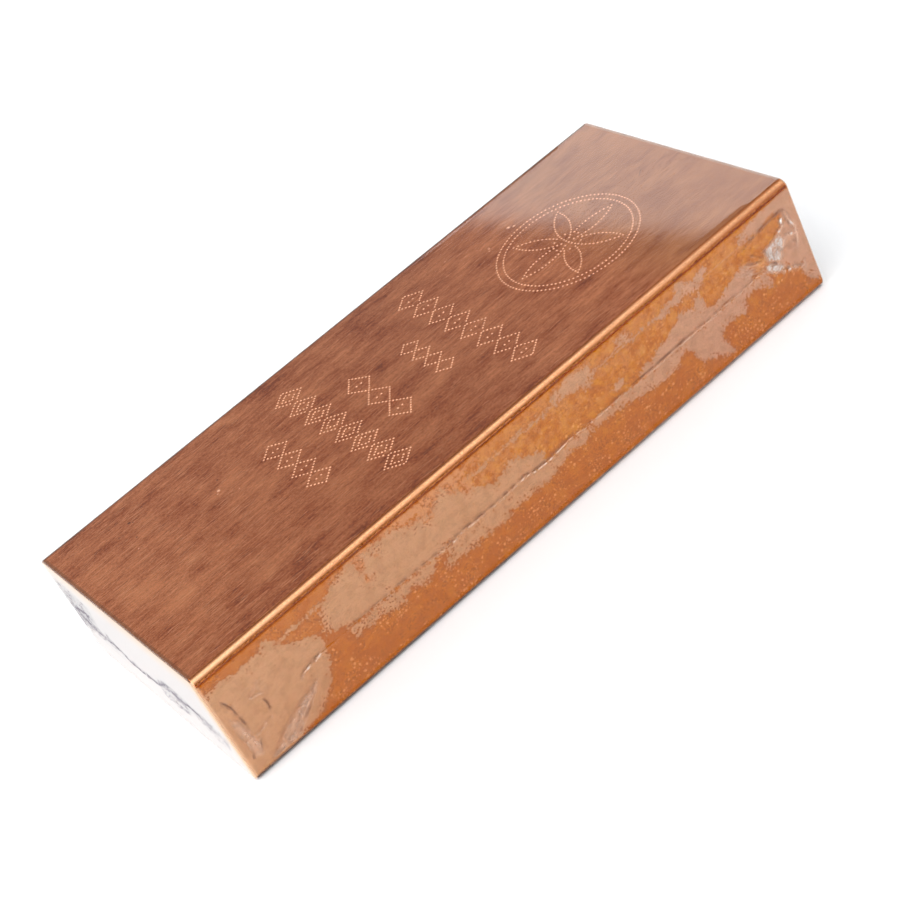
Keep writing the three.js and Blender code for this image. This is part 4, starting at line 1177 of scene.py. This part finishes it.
def film_outside():
    n = Net("clear film")
    pos = n.node("TexCoord").outputs["Object"]
    along_grain = n.node("VectorMath", operation="MULTIPLY")
    n.put(along_grain.inputs[0], pos)
    along_grain.inputs[1].default_value = (260.0, 800.0, 800.0)
    # faint waves in the shrunk film, drawn out along the grain it lies on
    waves = n.noise(along_grain.outputs[0], scale=1.0, detail=4.0, rough=0.58, flat=False)
    nb = n.node("Bump")
    n.put(nb.inputs["Height"], n.mul(waves, FILM_WAVES * 0.001))
    nb.inputs["Distance"].default_value = 1.0
    nb.inputs["Strength"].default_value = 1.0

    lw = n.node("LayerWeight")
    lw.inputs["Blend"].default_value = 0.5
    n.put(lw.inputs["Normal"], nb.outputs[0])
    fr = n.math("MULTIPLY_ADD", n.math("POWER", lw.outputs["Facing"], 5.0), 0.95, FILM_F0, clamp=True)
    milk, shade, cap = n.attribute("milk"), n.attribute("shade"), n.attribute("cap")
    fibres = n.noise(pos, scale=3400.0, detail=2.0, rough=0.7, flat=False)
    milk = n.mul(milk, n.ramp(fibres, 0.36, 0.64, 0.72, 1.12), clamp=True)
    fr = n.mul(fr, n.ramp(n.attribute("dull"), 0.0, 1.0, 1.0, 0.12, kind="LINEAR"))
    clear = n.node("BsdfTransparent")
    n.put(clear.inputs[0], n.colour(shade, (0.99, 0.985, 0.98), (0.44, 0.30, 0.23)))
    gloss = n.node("BsdfGlossy")
    gloss.inputs["Color"].default_value = (1, 1, 1, 1)
    gloss.inputs["Roughness"].default_value = 0.045
    n.put(gloss.inputs["Normal"], nb.outputs[0])
    mix = n.node("MixShader")
    n.put(mix.inputs[0], fr)
    n.put(mix.inputs[1], clear.outputs[0])
    n.put(mix.inputs[2], gloss.outputs[0])
    haze = n.node("BsdfDiffuse")
    split = n.node("SeparateXYZ")
    n.put(split.inputs[0], pos)
    low = split.outputs[2]
    white = n.colour(n.ramp(milk, 0.36, 0.72), (0.93, 0.62, 0.46), (0.76, 0.745, 0.73))
    # the brightest milk turns near white: painted glints
    white = n.colour(n.ramp(milk, 0.92, 0.99), white, (1.0, 0.97, 0.92))
    # on the ends the haze is lighter towards the bottom, and peach near their front and top edges: copper seen through
    # the film there, with a painted highlight along the rounded edges
    pale = n.colour(n.attribute("warm"), n.colour(n.ramp(low, 0.011, 0.004), (0.750, 0.745, 0.742), (0.815, 0.800, 0.790)), (0.93, 0.68, 0.44))
    pale = n.colour(cap, white, pale)
    n.put(haze.inputs[0], n.colour(n.mul(shade, 1.05), pale, n.colour(cap, (0.20, 0.145, 0.11), (0.22, 0.195, 0.23))))
    top = n.node("MixShader")
    n.put(top.inputs[0], n.math("MAXIMUM", n.mul(milk, 0.9), n.mul(cap, n.math("MULTIPLY_ADD", shade, 0.9 - CAP_HAZE, CAP_HAZE)), clamp=True))
    n.put(top.inputs[1], mix.outputs[0])
    n.put(top.inputs[2], haze.outputs[0])
    n.put(n.out.inputs[0], top.outputs[0])
    return n.m


def film_inside():
    n = Net("clear film lining")
    clear = n.node("BsdfTransparent")
    clear.inputs[0].default_value = (0.995, 0.99, 0.985, 1)
    n.put(n.out.inputs[0], clear.outputs[0])
    return n.m


FILM_F0, FILM_WAVES, CAP_HAZE = 0.045, 0.0022, 0.60

bar_o = build_object(
    "copper_bar", bar, [copper_top(), copper_flank(), copper_end()],
    lambda k: 1 if k in (FRONT, BACK, BOTTOM, FOOT) else 2 if k in (NEAR, FAR, ARRIS) else 0,
)
grain_uv(bar_o, bar, EDGE_R, HW, Z0, Z1)
P = np.array(bar.v, float)
near_side = sides_of(P)
vertex_side = np.full(len(P), -1)
for f, side in zip(bar.faces, bar.side):
    if side < 6:
        vertex_side[list(f)] = side
# where the brushing has left the face lighter or darker: (x, y, half length, half width, by how much)
POLISH = [
    (-50, -1, 6, 4.5, 0.36), (-48.5, -9, 5, 2.4, 0.30), (-53, -14.5, 4, 2.0, 0.32), (-45, 8, 5, 3, 0.14), (-31, 7.5, 3, 1.6, 0.20),
    (-10, -22.8, 26, 1.7, -0.26), (-20, -14, 7, 2.0, -0.16), (-12, -19, 8, 1.6, -0.22), (7, -20.5, 6, 1.3, 0.12), (-30, -19.5, 5, 1.4, -0.12), (2, -12, 8, 3.2, -0.14), (-2, 20.5, 20, 3.5, -0.10), (-36, -20.5, 8, 3, -0.14),
    (-47, 18, 8, 4, -0.10), (-47, -18.5, 8, 3.5, -0.12),
    (20, -3, 7, 5, 0.08), (-54, 20, 4, 4, -0.10), (0, -6, 9, 1.4, 0.14), (28, 15, 8, 4, 0.06), (48, 0, 14, 30, -0.14),
]
polish_and_shade = np.zeros(len(P))
for px, py, lx, ly, by in POLISH:
    polish_and_shade += by * np.exp(-(((P[:, 0] - px) / lx) ** 2 + ((P[:, 1] - py) / ly) ** 2)) * (P[:, 2] > Z1 - EDGE_R)
# a dark line of painted shade along the back edge of the top
polish_and_shade -= 0.75 * step(HW - EDGE_R - 0.1, HW - EDGE_R + 0.15, P[:, 1]) * (P[:, 2] > Z1 - EDGE_R)
set_float(bar_o, "polish_and_shade", polish_and_shade)
set_float(bar_o, "gap", gap_depth(P, np.where(vertex_side >= 0, vertex_side, near_side)))
x, h = P[:, 0], P[:, 2] - Z0
# 0 at the foot of an upper rolled edge, 1 at the flat of the top
turned_up = np.clip((P[:, 2] - (Z1 - EDGE_R)) / EDGE_R, 0, 1)
set_float(bar_o, "roll", np.where((vertex_side == TOP) | (P[:, 1] > 0), 1.0, np.arcsin(turned_up) / (math.pi / 2)))
upper = step(7.5, 13.0, h + 2.5 * fbm(x / 9, h / 6, 61, 3))
amber = upper * step(-16, 4, x) * (1 - 0.55 * step(44, 54, x)) + 0.35 * step(4.5, 7.5, h) * step(-30, 10, x) + 0.15
set_float(bar_o, "amber", np.clip(amber * step(0.3, 3.0, h), 0, 1))
set_float(bar_o, "rosy", step(-12, 48, x + 6 * fbm(x / 12, h / 9, 67, 3)))
set_float(bar_o, "level", np.where(P[:, 1] < 0, h, 99.0))
# chamfers that get a painted highlight: along the sides, across the far top, and at the front top corner
rim_highlight = np.zeros(len(P))
for f, side in zip(bar.faces, bar.side):
    if side == ARRIS:
        rim_highlight[list(f)] = 1
rim_highlight *= ((np.abs(P[:, 1]) > HW - 0.6) & (P[:, 2] < Z1 - 0.6)) | ((P[:, 0] > 0) & (P[:, 2] > Z1 - 0.6)) | (0.6 * ((P[:, 1] < -HW + 1.3) & (P[:, 2] >= Z1 - 1.3))).astype(bool)
set_float(bar_o, "rim_highlight", rim_highlight)
dot = np.zeros(len(P))
dot[list(bright)] = list(bright.values())
set_float(bar_o, "dot", dot)

film_o = build_object(
    "clear_wrap", film, [film_outside(), film_inside()], lambda k: 1 if k >= 98 else 0,
    smooth_sides=(0, 1, 2, 3, 4, 5, ROLL, FOOT, ARRIS),
)
F = np.array(film.v, float)
vs = np.full(len(F), -1)
for f, side in zip(film.faces, film.side):
    if side < 6:
        vs[list(f)] = side
on_roll = np.zeros(len(F), bool)
for f, side in zip(film.faces, film.side):
    if side in (ROLL, FOOT, ARRIS):
        on_roll[list(f)] = True
milk, shade = np.zeros(len(F)), np.zeros(len(F))
for side in (FRONT, NEAR, FAR):
    m = (vs == side) & ~on_roll
    _, milk[m], shade[m] = film_fields(side, to_uv(side, F[m]))
set_float(film_o, "milk", milk)
foot = np.zeros(len(F))
for f, side in zip(film.faces, film.side):
    if side == FOOT:
        foot[list(f)] = 1
shade = np.maximum(shade, 0.50 * foot * (F[:, 2] < 0.35) * (1 - 0.85 * step(-30, 25, F[:, 0])))
set_float(film_o, "shade", shade)
# where the film lies dull: round the foot, and in the crease under the front rolled edge
under_bead = (F[:, 1] < -HW + 0.2) * np.exp(-(((F[:, 2] - (Z1 - EDGE_R) - 0.05) / 0.22) ** 2)) * (vs < 98)
over_bead = (0.75 - 0.6 * step(22, 42, F[:, 0])) * (F[:, 1] < -HW + EDGE_R) * step(0.78, 0.90, (F[:, 2] - (Z1 - EDGE_R)) / FR) * (vs != TOP) * (vs < 98)
over_top = 0.22 * (vs == TOP) * (1 - step(-14, 12, F[:, 0]))
set_float(film_o, "dull", np.max([foot * 0.8, under_bead, over_bead, over_top], axis=0))
for k, (f, side) in enumerate(zip(film.faces, film.side)):  # flat right up to its far edge
    if side == TOP and F[list(f), 0].mean() > 50:
        film_o.data.polygons[k].use_smooth = False
# the ends are hazy, and so are the outer parts of their rounded edges
beside = np.abs(F[:, 1]) > HW - 0.5
outward = np.where(beside, 0.90 * step(HLF - 0.32, HLF - 0.10, np.abs(F[:, 0])), step(HLF - 0.14, HLF - 0.01, np.abs(F[:, 0])))
set_float(film_o, "cap", np.where(np.isin(vs, (NEAR, FAR)) & ~on_roll, 1.0, outward * (F[:, 2] > 0.03)))

# peach haze near the ends' front and top edges: copper seen through the film, with a painted highlight along the
# rounded edges
in_from_side, in_from_top = HWF - np.abs(F[:, 1]), BAR_H + 2 * SKIN - F[:, 2]
warm = np.maximum(np.exp(-((in_from_side / 1.7) ** 2)) * (F[:, 1] < 0), 0.6 * np.exp(-((in_from_top / 2.4) ** 2)))
set_float(film_o, "warm", warm * (np.abs(F[:, 0]) > HLF - 0.6))

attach(bar_o, "root")
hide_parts("ingot")
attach(film_o, "root")
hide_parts("shrink_film")

# ---------------------------------------------------------------------------
# Floor, light and camera
# ---------------------------------------------------------------------------
me = bpy.data.meshes.new("floor")
me.from_pydata([(-4, -4, 0), (4, -4, 0), (4, 4, 0), (-4, 4, 0)], [], [(0, 1, 2, 3)])
floor = bpy.data.objects.new("floor", me)
bpy.context.scene.collection.objects.link(floor)
fn = Net("pale floor")
fp = fn.node("BsdfDiffuse")
fp.inputs[0].default_value = (0.955, 0.970, 0.985, 1)
fn.put(fn.out.inputs[0], fp.outputs[0])
me.materials.append(fn.m)


# The studio: a broad soft box above and before the bar, a pale wall behind it,
# pale boards off its two ends, and a white card
SOFTBOX, WALL, NEAR_BOARD, FAR_BOARD = 1.95, 1.25, 1.50, 1.15
EXPOSURE = 1.0
CARD = 2.74

world = bpy.data.worlds.new("studio")
bpy.context.scene.world = world
world.use_nodes = True


class WorldNet(Net):
    def __init__(self, tree):
        self.t = tree
        self.t.nodes.clear()


wn = WorldNet(world.node_tree)
direction = wn.node("TexCoord").outputs["Generated"]
wsep = wn.node("SeparateXYZ")
wn.put(wsep.inputs[0], direction)
over = wn.mul(wn.math("ABSOLUTE", wn.math("ARCTAN2", wsep.outputs[2], wsep.outputs[1])), 1 / math.pi)
toward_far = wsep.outputs[0]
boards = wn.add(wn.ramp(toward_far, 0.14, -0.42, 0.0, NEAR_BOARD), wn.ramp(toward_far, 0.40, 0.95, 0.0, FAR_BOARD))
wall = wn.mul(wn.mul(wn.ramp(over, 0.11, 0.16, 1.0, 0.50), wn.ramp(over, 0.25, 0.36, 1.0, 0.0)), wn.ramp(toward_far, 0.05, 0.60, WALL, 0.6 * WALL))
softbox = wn.mul(wn.mul(wn.ramp(over, 0.37, 0.63), wn.ramp(over, 0.92, 0.66)), wn.mul(wn.ramp(toward_far, -0.55, 0.08, 0.35, 1.0), wn.ramp(toward_far, 0.30, 0.88, SOFTBOX, 0.0)))
level = wn.mul(wn.add(wn.math("MAXIMUM", boards, wall), softbox), 1 / 3)
light = wn.node("CombineColor")
for socket in light.inputs[:3]:
    wn.put(socket, level)
light = light.outputs[0]


def heading(azimuth, elevation):
    a, e = math.radians(azimuth), math.radians(elevation)
    return Vector((math.sin(a) * math.cos(e), math.cos(a) * math.cos(e), math.sin(e)))


# a white card stands behind the bar to the right, its top edge sloping
card_top = heading(24.5, 28.8).cross(heading(30.8, 31.7))
if card_top.z > 0:
    card_top = -card_top


def against(vector):
    d = wn.node("VectorMath", operation="DOT_PRODUCT")
    wn.put(d.inputs[0], direction)
    d.inputs[1].default_value = tuple(vector)
    return d.outputs["Value"]


card = wn.ramp(against(card_top.normalized()), -0.004, 0.004)
card = wn.mul(card, wn.ramp(against(heading(22 + 90, 0)), -0.02, 0.02))
card = wn.mul(card, wn.ramp(against(heading(38 - 90, 0)), -0.02, 0.02))
card = wn.mul(card, wn.ramp(wsep.outputs[2], math.sin(math.radians(25.8)), math.sin(math.radians(26.8))))
wb = wn.node("Background")
wn.put(wb.inputs[0], wn.colour(card, light, (CARD / 3, CARD / 3, CARD / 3)))
wb.inputs["Strength"].default_value = 3 * EXPOSURE
wo = wn.node("OutputWorld")
wn.put(wo.inputs[0], wb.outputs[0])

cam = bpy.data.cameras.new("camera")
cam.sensor_width = 36
cam.lens = 84.87421410985685
cam.clip_start, cam.clip_end = 0.01, 20
cam_o = bpy.data.objects.new("camera", cam)
bpy.context.scene.collection.objects.link(cam_o)
right = Vector((0.7304627896602611, -0.5573094400652708, -0.39475346855459476))
up = Vector((0.6181456952542171, 0.2937565421785575, 0.7291110980954668))
forward = Vector((0.29037908388936956, 0.7766036839607647, -0.5590766545815866))
at = Vector((-0.09412779259749285, -0.2509902015168205, 0.18484220847027885)) + Vector((0, 0.0001, 0.0001))
cam_o.matrix_world = Matrix(
    ((right.x, up.x, -forward.x, at.x), (right.y, up.y, -forward.y, at.y), (right.z, up.z, -forward.z, at.z), (0, 0, 0, 1))
)
bpy.context.scene.camera = cam_o

view = bpy.context.scene.view_settings
view.view_transform = "Standard"
view.look = "None"
view.exposure, view.gamma = 0.0, 1.0

bpy.context.view_layer.update()
